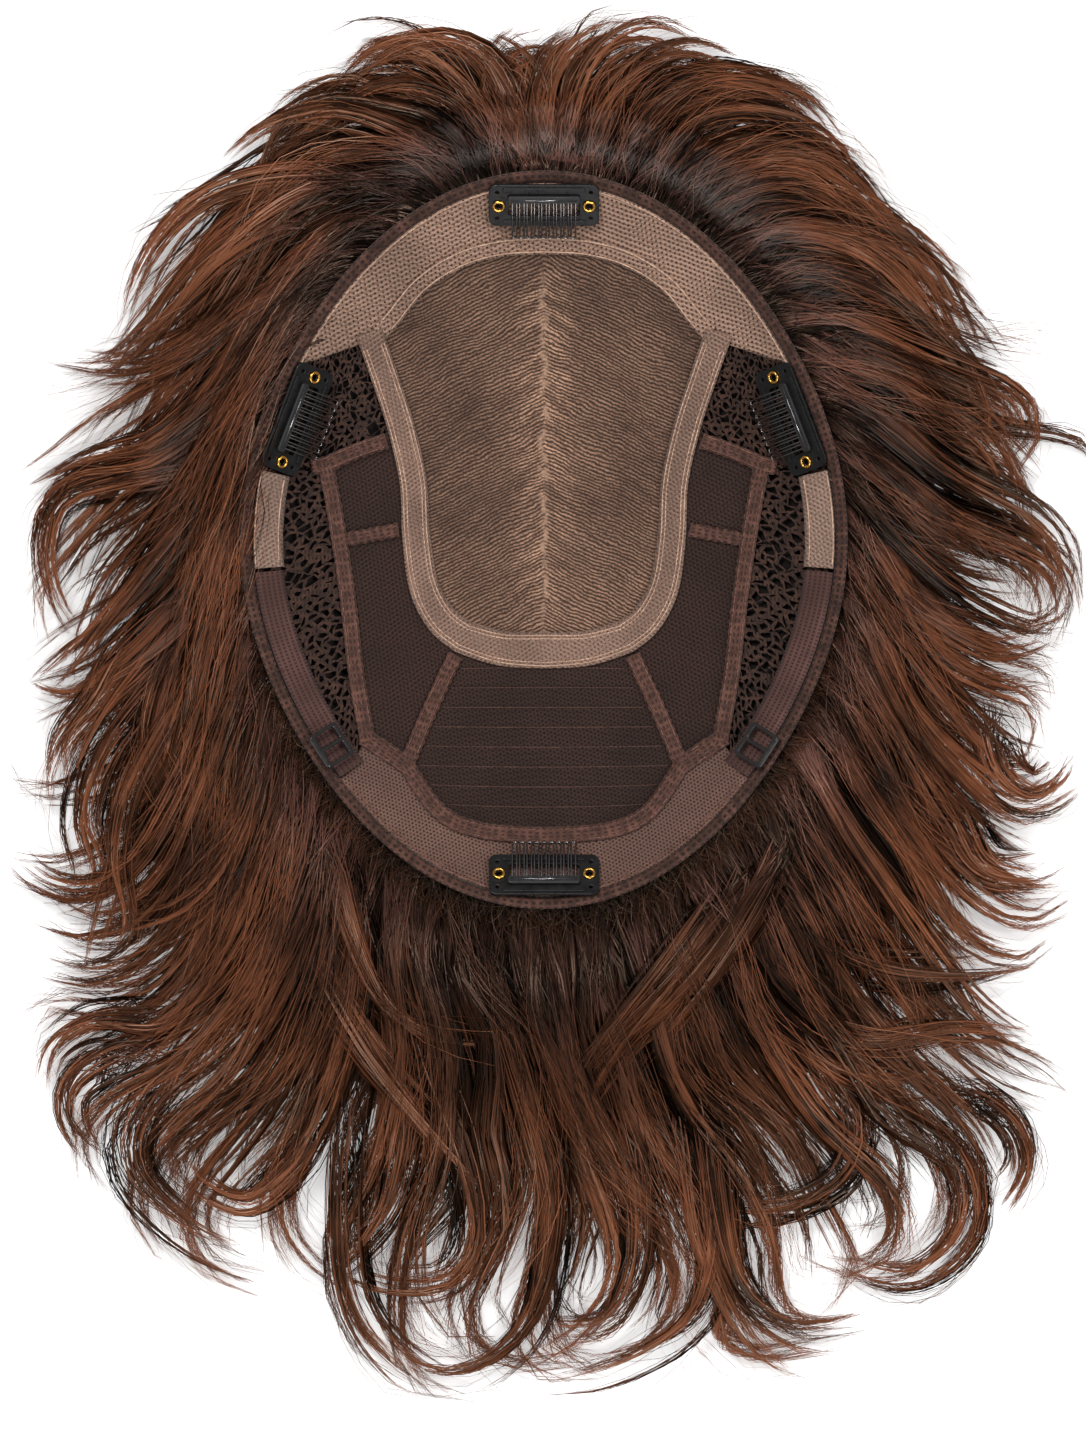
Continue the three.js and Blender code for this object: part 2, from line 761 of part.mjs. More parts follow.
function nearest(points, target) {
  let best = 0;
  points.forEach((p, k) => {
    if (p.distanceTo(target) < points[best].distanceTo(target)) best = k;
  });
  return best;
}

const left = sideLines(false);
const right = sideLines(true);

function addRim() {
  addPiece(topper, 'rim_tape', rimRing(0, rimTapeWidth, lift.panel, lift.panel + cloth.wall,
    cloth.rimSteps),
    finishes.tape());
}

function addMiddlePanels() {
  const frontLine = [...reversed(left.front), ...right.front.slice(1)];
  const backSeam = [...left.back, ...reversed(right.back).slice(1)];
  addPiece(topper, 'mono_top', panel(fourSided(frontLine, backSeam, left.side, right.side)),
    finishes.mono());
  addPiece(topper, 'front_lace', panel(fourSided(arc(places.laceEnd, 180 - places.laceEnd), frontLine,
    reversed(left.lace), reversed(right.lace))), finishes.lace());
  const lowerLine = [...left.backLine, ...reversed(right.backLine).slice(1)];
  addPiece(topper, 'weft_panel', panel(fourSided(backSeam, lowerLine, left.diagonal, right.diagonal)),
    finishes.mesh());
  const innerBand = [...left.corner, ...lowerLine.slice(1), ...reversed(right.corner).slice(1)];
  addPiece(topper, 'back_band', panel(fourSided(arc(places.bandStart, 540 - places.bandStart), innerBand,
    reversed(left.bandTop), reversed(right.bandTop))), finishes.lace());
}

function addSidePanels(name, lines) {
  const { side, rib } = lines;
  const frontNet = fourSided(lines.lace, [...lines.upper, ...lines.upperOuter.slice(1)],
    side.slice(0, lines.crossStart + 1), lines.rimSpan(places.laceEnd, places.upperCrossEnd),
    net.frontColumns, net.frontRows);
  addPiece(topper, `front_net_${name}`, netPanel(frontNet), finishes.net());
  const sideNet = fourSided(lines.upperOuter, lines.bandTop, rib,
    lines.rimSpan(places.upperCrossEnd, places.bandStart), net.sideColumns, net.sideRows);
  addPiece(topper, `side_net_${name}`, netPanel(sideNet), finishes.net());
  const square = fourSided(lines.upper, lines.lower, side.slice(lines.crossStart, lines.lowerEnd + 1),
    rib.slice(0, lines.lowerStart + 1));
  addPiece(topper, `mesh_square_${name}`, panel(square), finishes.mesh());
  const innerPanel = fourSided(lines.lower, reversed(lines.corner), [...side.slice(lines.lowerEnd),
    ...lines.diagonal.slice(1)], rib.slice(lines.lowerStart));
  addPiece(topper, `mesh_panel_${name}`, panel(innerPanel), finishes.mesh());
}

function addTapes() {
  const gap = cloth.seamGap;
  const frontLine = [...reversed(left.front), ...right.front.slice(1)];
  const cornerTrim = (tape.borderSide + tape.frontSeam) / 2;
  addPiece(topper, 'front_seam', overlay(trimmed(frontLine, cornerTrim, cornerTrim), tape.frontSeam),
    finishes.lace());
  const border = [...left.side, ...left.back.slice(1), ...reversed(right.back).slice(1),
    ...reversed(right.side).slice(1)];
  const borderWidth = (s) => mix(tape.borderBack, tape.borderSide,
    smooth(tape.borderTaper * Math.abs(s - 0.5)));
  addPiece(topper, 'panel_border', overlay(trimmed(border, gap, gap), borderWidth), finishes.lace());
  const backSeam = [...left.backLine, ...reversed(right.backLine).slice(1)];
  const backTrim = tape.corner / 2 + gap;
  addPiece(topper, 'back_tape', overlay(trimmed(backSeam, backTrim, backTrim), tape.back),
    finishes.tape());
  [['left', left], ['right', right]].forEach(([name, lines]) => {
    const upper = [...lines.upper, ...lines.upperOuter.slice(1)];
    const borderTrim = tape.borderSide / 2 + 2 * gap;
    const clipTrim = clip.edge + clip.width + 2 * gap;
    addPiece(topper, `upper_cross_tape_${name}`, overlay(trimmed(upper, borderTrim, clipTrim),
      tape.upperCross), finishes.tape());
    addPiece(topper, `rib_tape_${name}`, overlay(trimmed(lines.rib, tape.upperCross / 2 + 2 * gap, 0),
      tape.rib), finishes.tape());
    addPiece(topper, `lower_cross_tape_${name}`, overlay(trimmed(lines.lower, borderTrim,
      tape.rib / 2 + 2 * gap), tape.lowerCross), finishes.tape());
    addPiece(topper, `diagonal_tape_${name}`, overlay(trimmed(lines.diagonal,
      tape.borderBack / 2 + 3 * gap, tape.corner / 2 + 4 * gap), tape.diagonal), finishes.tape());
    addPiece(topper, `corner_tape_${name}`, overlay(trimmed(lines.corner, tape.rib / 2 + 2 * gap,
      0), tape.corner), finishes.tape());
  });
}

function addStraps() {
  const wedge = strap.tabWidth * clip.length / 2 / cap.halfLength;
  const clipEnd = rimTurn(places.sideClip, clip.length / 2 + 2 * cloth.seamGap + wedge);
  const tabLine = rimTapeWidth + cloth.seamGap + strap.tabWidth / 2;
  const strapLine = rimTapeWidth + cloth.seamGap + strap.width / 2;
  const strapStart = rimTurn(places.tabEnd, 2 * cloth.seamGap);
  const loopStart = rimTurn(places.strapEnd, cloth.seamGap);
  const loopEnd = rimTurn(loopStart, strap.loopLength);
  ['left', 'right'].forEach((name, k) => {
    const turned = (points) => (k ? mirrored(points) : points);
    const run = (from, to, inset) => turned(rimArc(from, to, inset, 30));
    addPiece(topper, `ear_tab_${name}`, overlay(run(clipEnd, places.tabEnd, tabLine),
      strap.tabWidth), finishes.tab());
    addPiece(topper, `elastic_strap_${name}`, overlay(run(strapStart, places.strapEnd, strapLine),
      strap.width), finishes.elastic());
    addPiece(topper, `strap_loop_${name}`, overlay(run(loopStart, loopEnd, strapLine), strap.width),
      finishes.elastic());
    const centre = (places.strapEnd + loopStart) / 2;
    const unit = new THREE.Group();
    const halfWidth = strap.width / 2 + strap.adjusterSide;
    const corners = [-1, 1].flatMap((side) => [[side * strap.adjusterLength / 2, -halfWidth, 0],
      [side * strap.adjusterLength / 2, halfWidth, 0]]);
    seat(unit, k ? 180 - centre : centre, strapLine - halfWidth, halfWidth, corners, lift.top);
    addPiece(unit, `adjuster_${name}`, adjuster(), finishes.plastic());
    topper.add(unit);
  });
}

function addClips() {
  const halfLength = clip.length / 2;
  const halfWidth = clip.width / 2;
  const corners = [-1, 1].flatMap((side) => [[side * halfLength, -halfWidth, 0],
    [side * halfLength, halfWidth, 0], [side * clip.combLength / 2, halfWidth + clip.combReach, clipTop]]);
  Object.entries(clipAngles).forEach(([name, degrees]) => {
    const unit = new THREE.Group();
    seat(unit, degrees, rimTapeWidth + clip.edge, halfWidth, corners, lift.tape);
    addPiece(unit, `clip_plate_${name}`, clipPlate(), finishes.plastic());
    addPiece(unit, `clip_grip_${name}`, clipGrip(), finishes.plastic());
    addPiece(unit, `clip_comb_${name}`, clipComb(), finishes.wire());
    eyeletPlaces().forEach((u, k) => {
      addPiece(unit, `eyelet_${name}_${k + 1}`, clipEyelet(u), finishes.brass());
    });
    topper.add(unit);
  });
}

addRim();
addMiddlePanels();
addSidePanels('left', left);
addSidePanels('right', right);
addTapes();
addStraps();
addClips();
addPiece(topper, 'hair_bed', hairBed(), finishes.hair());
addPiece(topper, 'hair', hairMass(), finishes.hair());

export default topper;
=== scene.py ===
import math

import bpy
import numpy as np
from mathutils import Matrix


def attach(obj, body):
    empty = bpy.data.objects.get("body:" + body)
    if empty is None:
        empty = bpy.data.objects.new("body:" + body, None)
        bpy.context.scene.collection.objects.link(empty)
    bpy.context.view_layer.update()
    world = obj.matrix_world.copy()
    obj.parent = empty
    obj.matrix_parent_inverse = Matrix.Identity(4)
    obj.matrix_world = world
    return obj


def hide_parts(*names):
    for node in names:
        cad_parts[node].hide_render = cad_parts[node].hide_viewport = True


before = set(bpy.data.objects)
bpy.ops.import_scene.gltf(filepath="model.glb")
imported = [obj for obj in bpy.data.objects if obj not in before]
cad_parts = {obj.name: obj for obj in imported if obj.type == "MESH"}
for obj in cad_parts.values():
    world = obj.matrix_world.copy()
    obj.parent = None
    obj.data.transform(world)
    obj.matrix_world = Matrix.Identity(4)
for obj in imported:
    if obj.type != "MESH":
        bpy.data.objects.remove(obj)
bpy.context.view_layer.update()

# Everything below is worked out in millimetres and turned into metres when a mesh is made
mm = 0.001
seed = 7

cap = dict(halfWidth=88, halfLength=107, depth=38, crownHeight=16, bowlPower=2.1,
           frontWaist=0.026, backWaist=0.032, rimTapeWidth=3.3)
lift = dict(panel=0.5, tape=1.5, top=2.5)
photo = dict(width=1086, height=1448, scale=0.29, originX=544, originY=540, rimHeight=50,
             distance=2950)


def linear(red, green, blue):
    # Photograph colours are sRGB, shaders want linear
    out = []
    for value in (red, green, blue):
        share = value / 255
        out.append(share / 12.92 if share <= 0.04045 else ((share + 0.055) / 1.055) ** 2.4)
    return (*out, 1)


# Camera: straight above, with a long lens
def placeCamera():
    data = bpy.data.cameras.new("overheadCamera")
    camera = bpy.data.objects.new("overheadCamera", data)
    bpy.context.collection.objects.link(camera)
    centreX = (photo["width"] / 2 - photo["originX"]) * photo["scale"]
    centreY = (photo["originY"] - photo["height"] / 2) * photo["scale"]
    camera.location = (centreX * mm, centreY * mm, (photo["rimHeight"] + photo["distance"]) * mm)
    frameHeight = photo["height"] * photo["scale"]
    data.sensor_width = 36
    data.lens = data.sensor_width * photo["distance"] / frameHeight
    data.clip_end = 20
    bpy.context.scene.camera = camera


# Studio: pale floor and broad lamps
studio = dict(floorSize=14.0, floorColour=(0.93, 0.93, 0.93, 1), worldStrength=0.2, floorGlow=0.4)
# columns: name, place, size, power
lamps = [("keyLamp", (-0.5, 0.8, 1.5), 0.6, 17),
         ("fillLamp", (0.9, 0.1, 1.3), 0.8, 8),
         ("backLamp", (0.1, -1.1, 1.2), 0.6, 8)]


def buildStudio():
    half = studio["floorSize"] / 2
    mesh = bpy.data.meshes.new("studioFloor")
    mesh.from_pydata([(-half, -half, 0), (half, -half, 0), (half, half, 0), (-half, half, 0)], [],
                     [(0, 1, 2, 3)])
    floor = bpy.data.objects.new("studioFloor", mesh)
    bpy.context.collection.objects.link(floor)
    material = bpy.data.materials.new("paleFloor")
    material.use_nodes = True
    shader = material.node_tree.nodes["Principled BSDF"]
    shader.inputs["Base Color"].default_value = studio["floorColour"]
    shader.inputs["Roughness"].default_value = 0.8
    # The floor glows a little: painted light that lightens the shadows cast on it
    shader.inputs["Emission Color"].default_value = (1, 1, 1, 1)
    shader.inputs["Emission Strength"].default_value = studio["floorGlow"]
    mesh.materials.append(material)
    for name, place, size, power in lamps:
        data = bpy.data.lights.new(name, "AREA")
        data.shape = "DISK"
        data.size = size
        data.energy = power
        lamp = bpy.data.objects.new(name, data)
        bpy.context.collection.objects.link(lamp)
        lamp.location = place
        aim = np.array([0, -0.05, 0.03]) - np.array(place)
        flat = math.hypot(aim[0], aim[1])
        lamp.rotation_euler = (math.atan2(flat, -aim[2]), 0, math.atan2(-aim[0], aim[1]))
    world = bpy.data.worlds.new("studioWorld")
    world.use_nodes = True
    world.node_tree.nodes["Background"].inputs["Color"].default_value = (1, 1, 1, 1)
    world.node_tree.nodes["Background"].inputs["Strength"].default_value = studio["worldStrength"]
    bpy.context.scene.world = world
    bpy.context.scene.view_settings.view_transform = "Standard"


# Shared shader groups
def newGroup(name, inputs, outputs):
    group = bpy.data.node_groups.new(name, "ShaderNodeTree")
    for label, kind, value in inputs:
        socket = group.interface.new_socket(name=label, in_out="INPUT", socket_type=kind)
        if value is not None:
            socket.default_value = value
    for label, kind in outputs:
        group.interface.new_socket(name=label, in_out="OUTPUT", socket_type=kind)
    return group, group.nodes.new("NodeGroupInput"), group.nodes.new("NodeGroupOutput")


def mathNode(tree, operation, first, second=None, third=None, clamp=False):
    node = tree.nodes.new("ShaderNodeMath")
    node.operation = operation
    node.use_clamp = clamp
    for socket, value in zip(node.inputs, (first, second, third)):
        if value is None:
            continue
        if isinstance(value, (int, float)):
            socket.default_value = value
        else:
            tree.links.new(value, socket)
    return node.outputs[0]


def remap(tree, value, low, high, toLow=0.0, toHigh=1.0):
    node = tree.nodes.new("ShaderNodeMapRange")
    node.interpolation_type = "SMOOTHSTEP"
    tree.links.new(value, node.inputs["Value"])
    node.inputs["From Min"].default_value = low
    node.inputs["From Max"].default_value = high
    node.inputs["To Min"].default_value = toLow
    node.inputs["To Max"].default_value = toHigh
    return node.outputs["Result"]


def noiseNode(tree, vector, scale, detail=3.0, rough=0.5):
    node = tree.nodes.new("ShaderNodeTexNoise")
    node.inputs["Scale"].default_value = scale
    node.inputs["Detail"].default_value = detail
    node.inputs["Roughness"].default_value = rough
    tree.links.new(vector, node.inputs["Vector"])
    return node.outputs["Fac"]


def mixColour(tree, share, first, second):
    node = tree.nodes.new("ShaderNodeMix")
    node.data_type = "RGBA"
    for socket, value in ((node.inputs[0], share), (node.inputs[6], first),
                          (node.inputs[7], second)):
        if isinstance(value, (int, float, tuple)):
            socket.default_value = value
        else:
            tree.links.new(value, socket)
    return node.outputs[2]


def buildLaceGroup():
    # Round holes in three crossing rows, as in knotted lace
    group, inside, outside = newGroup(
        "laceHoles", [("Vector", "NodeSocketVector", None), ("Pitch", "NodeSocketFloat", 800.0),
                      ("Hole Size", "NodeSocketFloat", 0.5)],
        [("Thread", "NodeSocketFloat"), ("Height", "NodeSocketFloat")])
    split = group.nodes.new("ShaderNodeSeparateXYZ")
    group.links.new(inside.outputs["Vector"], split.inputs[0])
    waves = None
    for turn in (0.15, 0.15 + math.pi / 3, 0.15 + 2 * math.pi / 3):
        across = mathNode(group, "MULTIPLY_ADD", split.outputs[1], math.sin(turn),
                          mathNode(group, "MULTIPLY", split.outputs[0], math.cos(turn)))
        phase = mathNode(group, "MULTIPLY",
                         mathNode(group, "MULTIPLY", across, inside.outputs["Pitch"]), 2 * math.pi)
        wave = mathNode(group, "COSINE", phase)
        waves = wave if waves is None else mathNode(group, "ADD", waves, wave)
    scaled = mathNode(group, "MULTIPLY_ADD", waves, 0.22, 0.33)
    hole = mathNode(group, "SUBTRACT", scaled, inside.outputs["Hole Size"])
    group.links.new(remap(group, hole, -0.12, 0.2, 1.0, 0.0), outside.inputs["Thread"])
    group.links.new(remap(group, scaled, 0.0, 1.0, 1.0, 0.0), outside.inputs["Height"])
    return group


def buildWeaveGroup():
    # Plain weave: threads over and under each other
    group, inside, outside = newGroup(
        "plainWeave", [("Vector", "NodeSocketVector", None), ("Threads", "NodeSocketFloat", 900.0),
                       ("Across", "NodeSocketFloat", 900.0)],
        [("Thread", "NodeSocketFloat"), ("Height", "NodeSocketFloat")])
    split = group.nodes.new("ShaderNodeSeparateXYZ")
    group.links.new(inside.outputs["Vector"], split.inputs[0])
    warp = mathNode(group, "COSINE", mathNode(group, "MULTIPLY", mathNode(
        group, "MULTIPLY", split.outputs[0], inside.outputs["Threads"]), 2 * math.pi))
    weft = mathNode(group, "COSINE", mathNode(group, "MULTIPLY", mathNode(
        group, "MULTIPLY", split.outputs[1], inside.outputs["Across"]), 2 * math.pi))
    height = mathNode(group, "MAXIMUM", warp, weft)
    group.links.new(remap(group, height, -0.7, 0.5), outside.inputs["Thread"])
    group.links.new(remap(group, height, -1.0, 1.0), outside.inputs["Height"])
    return group


def buildFibreGroup():
    # Uneven fibres: slow colour drift and fine fuzz
    group, inside, outside = newGroup(
        "clothFibre", [("Vector", "NodeSocketVector", None),
                       ("Fuzz Scale", "NodeSocketFloat", 2500.0),
                       ("Drift Scale", "NodeSocketFloat", 60.0)],
        [("Fuzz", "NodeSocketFloat"), ("Drift", "NodeSocketFloat")])
    for label, detail in (("Fuzz", 2.0), ("Drift", 4.0)):
        node = group.nodes.new("ShaderNodeTexNoise")
        node.inputs["Detail"].default_value = detail
        group.links.new(inside.outputs["Vector"], node.inputs["Vector"])
        group.links.new(inside.outputs[f"{label} Scale"], node.inputs["Scale"])
        group.links.new(node.outputs["Fac"], outside.inputs[label])
    return group


def buildRowGroup():
    # Wavy rows of knots or stitches; Mirror 1 makes them meet in a chevron at the middle
    group, inside, outside = newGroup(
        "knotRows", [("Vector", "NodeSocketVector", None), ("Down", "NodeSocketFloat", 800.0),
                     ("Across", "NodeSocketFloat", 300.0), ("Mirror", "NodeSocketFloat", 0.0),
                     ("Warp", "NodeSocketFloat", 2.0), ("Warp Scale", "NodeSocketFloat", 60.0)],
        [("Row", "NodeSocketFloat"), ("Broken", "NodeSocketFloat")])
    split = group.nodes.new("ShaderNodeSeparateXYZ")
    group.links.new(inside.outputs["Vector"], split.inputs[0])
    folded = mathNode(group, "SUBTRACT", mathNode(group, "ABSOLUTE", split.outputs[0]),
                      split.outputs[0])
    sideways = mathNode(group, "MULTIPLY_ADD", folded, inside.outputs["Mirror"], split.outputs[0])
    phase = mathNode(group, "MULTIPLY_ADD", split.outputs[1], inside.outputs["Down"],
                     mathNode(group, "MULTIPLY", sideways, inside.outputs["Across"]))
    slow = group.nodes.new("ShaderNodeTexNoise")
    slow.inputs["Detail"].default_value = 3.0
    group.links.new(inside.outputs["Vector"], slow.inputs["Vector"])
    group.links.new(inside.outputs["Warp Scale"], slow.inputs["Scale"])
    phase = mathNode(group, "MULTIPLY_ADD", slow.outputs["Fac"], inside.outputs["Warp"], phase)
    phase = mathNode(group, "MULTIPLY_ADD", noiseNode(group, inside.outputs["Vector"], 620, 2.0),
                     0.8, phase)
    wave = mathNode(group, "SINE", mathNode(group, "MULTIPLY", phase, 2 * math.pi))
    group.links.new(remap(group, wave, -0.9, 0.9), outside.inputs["Row"])
    dots = noiseNode(group, inside.outputs["Vector"], 1500, 2.0)
    group.links.new(remap(group, dots, 0.38, 0.6), outside.inputs["Broken"])
    return group


laceGroup = buildLaceGroup()
weaveGroup = buildWeaveGroup()
fibreGroup = buildFibreGroup()
rowGroup = buildRowGroup()


def startMaterial(name, coordinates="Object"):
    material = bpy.data.materials.new(name)
    material.use_nodes = True
    tree = material.node_tree
    texture = tree.nodes.new("ShaderNodeTexCoord")
    return material, tree, tree.nodes["Principled BSDF"], texture.outputs[coordinates]


def useGroup(tree, group, vector, **values):
    node = tree.nodes.new("ShaderNodeGroup")
    node.node_tree = group
    tree.links.new(vector, node.inputs["Vector"])
    for label, value in values.items():
        node.inputs[label.replace("_", " ")].default_value = value
    return node.outputs


def addBump(tree, shader, height, strength, distance):
    bump = tree.nodes.new("ShaderNodeBump")
    bump.inputs["Strength"].default_value = strength
    bump.inputs["Distance"].default_value = distance
    tree.links.new(height, bump.inputs["Height"])
    tree.links.new(bump.outputs["Normal"], shader.inputs["Normal"])


def laceMaterial(name, thread, gap, pitch, holeSize, rows=(760, 260), warp=3.0, rowShare=0.5,
                 roughness=0.75,
                 sheen=0.1):
    # Knotted lace: holes, with wavy rows where the knots pull together
    material, tree, shader, vector = startMaterial(name)
    lace = useGroup(tree, laceGroup, vector, Pitch=pitch, Hole_Size=holeSize)
    knots = useGroup(tree, rowGroup, vector, Down=rows[0], Across=rows[1], Mirror=1.0, Warp=warp,
                     Warp_Scale=70)
    fibre = useGroup(tree, fibreGroup, vector, Fuzz_Scale=2200, Drift_Scale=40)
    darker = tuple(0.7 * value for value in thread[:3]) + (1,)
    threadColour = mixColour(tree, remap(tree, fibre["Drift"], 0.35, 0.65), darker, thread)
    cover = mathNode(tree, "MULTIPLY", lace["Thread"],
                     mathNode(tree, "MULTIPLY_ADD", knots["Row"], rowShare, 1 - rowShare))
    cover = mathNode(tree, "MULTIPLY_ADD", knots["Broken"], 0.2, cover, clamp=True)
    tree.links.new(mixColour(tree, cover, gap, threadColour), shader.inputs["Base Color"])
    shader.inputs["Roughness"].default_value = roughness
    shader.inputs["Specular IOR Level"].default_value = 0.25
    shader.inputs["Sheen Weight"].default_value = sheen
    height = mathNode(tree, "MULTIPLY_ADD", fibre["Fuzz"], 0.3,
                      mathNode(tree, "ADD", lace["Height"], knots["Row"]))
    addBump(tree, shader, height, 0.6, 0.0003)
    return material


def monoMaterial():
    # Fine mesh: rows of knots slope up to a pale parting with a whorl
    material, tree, shader, vector = startMaterial("monoMesh")
    split = tree.nodes.new("ShaderNodeSeparateXYZ")
    tree.links.new(vector, split.inputs[0])
    across = mathNode(tree, "ABSOLUTE", split.outputs[0])
    lengthwise = mathNode(tree, "MULTIPLY_ADD", across, 0.8, split.outputs[1])
    crossing = mathNode(tree, "MULTIPLY_ADD", split.outputs[1], -0.8, across)
    streaked = tree.nodes.new("ShaderNodeCombineXYZ")
    tree.links.new(mathNode(tree, "MULTIPLY", lengthwise, 330.0), streaked.inputs[0])
    tree.links.new(mathNode(tree, "MULTIPLY", crossing, 55.0), streaked.inputs[1])
    tree.links.new(mathNode(tree, "SIGN", split.outputs[0]), streaked.inputs[2])
    streaks = noiseNode(tree, streaked.outputs[0], 1.0, 4.0, 0.65)
    drift = noiseNode(tree, vector, 28, 3.0, 0.55)
    knots = useGroup(tree, rowGroup, vector, Down=900, Across=420, Mirror=1.0, Warp=4.2,
                     Warp_Scale=60)
    wobble = mathNode(tree, "MULTIPLY",
                      mathNode(tree, "SUBTRACT", noiseNode(tree, vector, 150, 4.0, 0.65), 0.5),
                      0.007)
    offLine = mathNode(tree, "ABSOLUTE", mathNode(tree, "ADD", split.outputs[0], wobble))
    inRange = mathNode(tree, "MULTIPLY", remap(tree, split.outputs[1], -0.034, -0.01),
                       remap(tree, split.outputs[1], 0.07, 0.084, 1.0, 0.0))
    broken = remap(tree, noiseNode(tree, vector, 330, 3.0), 0.4, 0.56, 0.25, 1.0)
    spine = mathNode(tree, "MULTIPLY", remap(tree, offLine, 0.0, 0.0018, 1.0, 0.0),
                     mathNode(tree, "MULTIPLY", inRange, broken))
    glow = mathNode(tree, "MULTIPLY", remap(tree, offLine, 0.0, 0.012, 1.0, 0.0), inRange)
    barbs = mathNode(tree, "MULTIPLY", glow, remap(tree, streaks, 0.42, 0.62))
    crown = None
    for centre, size in ((0.066, 0.028), (0.046, 0.024)):
        away = mathNode(tree, "ABSOLUTE", mathNode(tree, "SUBTRACT", split.outputs[1], centre))
        reach = mathNode(tree, "MULTIPLY_ADD", across, 1.0, away)
        reach = mathNode(tree, "MULTIPLY_ADD", noiseNode(tree, vector, 260, 4.0, 0.6), 0.024, reach)
        blob = remap(tree, reach, 0.008, size, 0.62, 0.0)
        crown = blob if crown is None else mathNode(tree, "ADD", crown, blob)
    tone = mathNode(tree, "MULTIPLY_ADD", streaks, 0.75,
                    mathNode(tree, "MULTIPLY_ADD", drift, 1.1, -0.66))
    # Painted shading: the mesh is made lighter towards the back of the cap
    tone = mathNode(tree, "MULTIPLY_ADD", remap(tree, split.outputs[1], -0.03, 0.05, 1.0, 0.0), 0.2,
                    tone)
    tone = mathNode(tree, "MULTIPLY_ADD", crown, remap(tree, streaks, 0.3, 0.7), tone)
    tone = mathNode(tree, "MULTIPLY_ADD", barbs, 0.5,
                    mathNode(tree, "MULTIPLY_ADD", glow, 0.1, tone), clamp=True)
    mesh = useGroup(tree, laceGroup, vector, Pitch=980, Hole_Size=0.66)
    dotted = mathNode(tree, "MULTIPLY_ADD", knots["Broken"], 0.55, 0.45)
    base = mixColour(tree, tone, linear(92, 66, 54), linear(202, 158, 130))
    base = mixColour(tree, mathNode(tree, "MULTIPLY", spine, 0.75), base, linear(188, 152, 128))
    cover = mathNode(tree, "MULTIPLY", mathNode(tree, "MULTIPLY_ADD", mesh["Thread"], 0.3, 0.7),
                     mathNode(tree, "MULTIPLY_ADD",
                              mathNode(tree, "MULTIPLY", knots["Row"], dotted), 1.1, 0.1))
    cover = mathNode(tree, "MAXIMUM", cover, mathNode(tree, "MULTIPLY", spine, 0.8))
    tree.links.new(mixColour(tree, cover, linear(36, 22, 17), base), shader.inputs["Base Color"])
    shader.inputs["Roughness"].default_value = 0.72
    shader.inputs["Specular IOR Level"].default_value = 0.25
    shader.inputs["Sheen Weight"].default_value = 0.08
    height = mathNode(tree, "MULTIPLY_ADD", streaks, 0.6,
                      mathNode(tree, "ADD", mesh["Height"], knots["Row"]))
    addBump(tree, shader, height, 0.6, 0.0003)
    return material


def ribbonMaterial(name, light, dark, threads=900, across=500, sheen=0.08, bump=0.8, crinkles=420):
    # Woven ribbon, drawn along its own length
    material, tree, shader, vector = startMaterial(name, "UV")
    weave = useGroup(tree, weaveGroup, vector, Threads=threads, Across=across)
    fibre = useGroup(tree, fibreGroup, vector, Fuzz_Scale=1500, Drift_Scale=120)
    crinkle = noiseNode(tree, vector, crinkles, 2.0)
    # The ribbon is coloured darker where its crinkles lie low: painted shade in the creases
    base = mixColour(tree, remap(tree, crinkle, 0.36, 0.6, 0.3, 1.0), dark, light)
    base = mixColour(tree, remap(tree, fibre["Drift"], 0.35, 0.65, 0.0, 0.5), base, dark)
    tree.links.new(mixColour(tree, weave["Thread"], dark, base), shader.inputs["Base Color"])
    shader.inputs["Roughness"].default_value = 0.7
    shader.inputs["Specular IOR Level"].default_value = 0.25
    shader.inputs["Sheen Weight"].default_value = sheen
    height = mathNode(tree, "MULTIPLY_ADD", fibre["Fuzz"], 0.5,
                      mathNode(tree, "MULTIPLY_ADD", crinkle, 4.0, weave["Height"]))
    addBump(tree, shader, height, bump, 0.0003)
    return material


def glossMaterial(name, colour, roughness, metallic=0.0, coat=0.0, gloss=0.5):
    # Hard parts: slight handling marks in the gloss
    material, tree, shader, vector = startMaterial(name)
    marks = noiseNode(tree, vector, 400, 4.0, 0.6)
    brighter = tuple(min(1, 1.5 * value + 0.01) for value in colour[:3]) + (1,)
    tree.links.new(mixColour(tree, marks, colour, brighter), shader.inputs["Base Color"])
    tree.links.new(remap(tree, marks, 0.2, 0.8, 0.7 * roughness, 1.4 * roughness),
                   shader.inputs["Roughness"])
    shader.inputs["Metallic"].default_value = metallic
    shader.inputs["Coat Weight"].default_value = coat
    shader.inputs["Specular IOR Level"].default_value = gloss
    addBump(tree, shader, marks, 0.08, 0.0002)
    return material


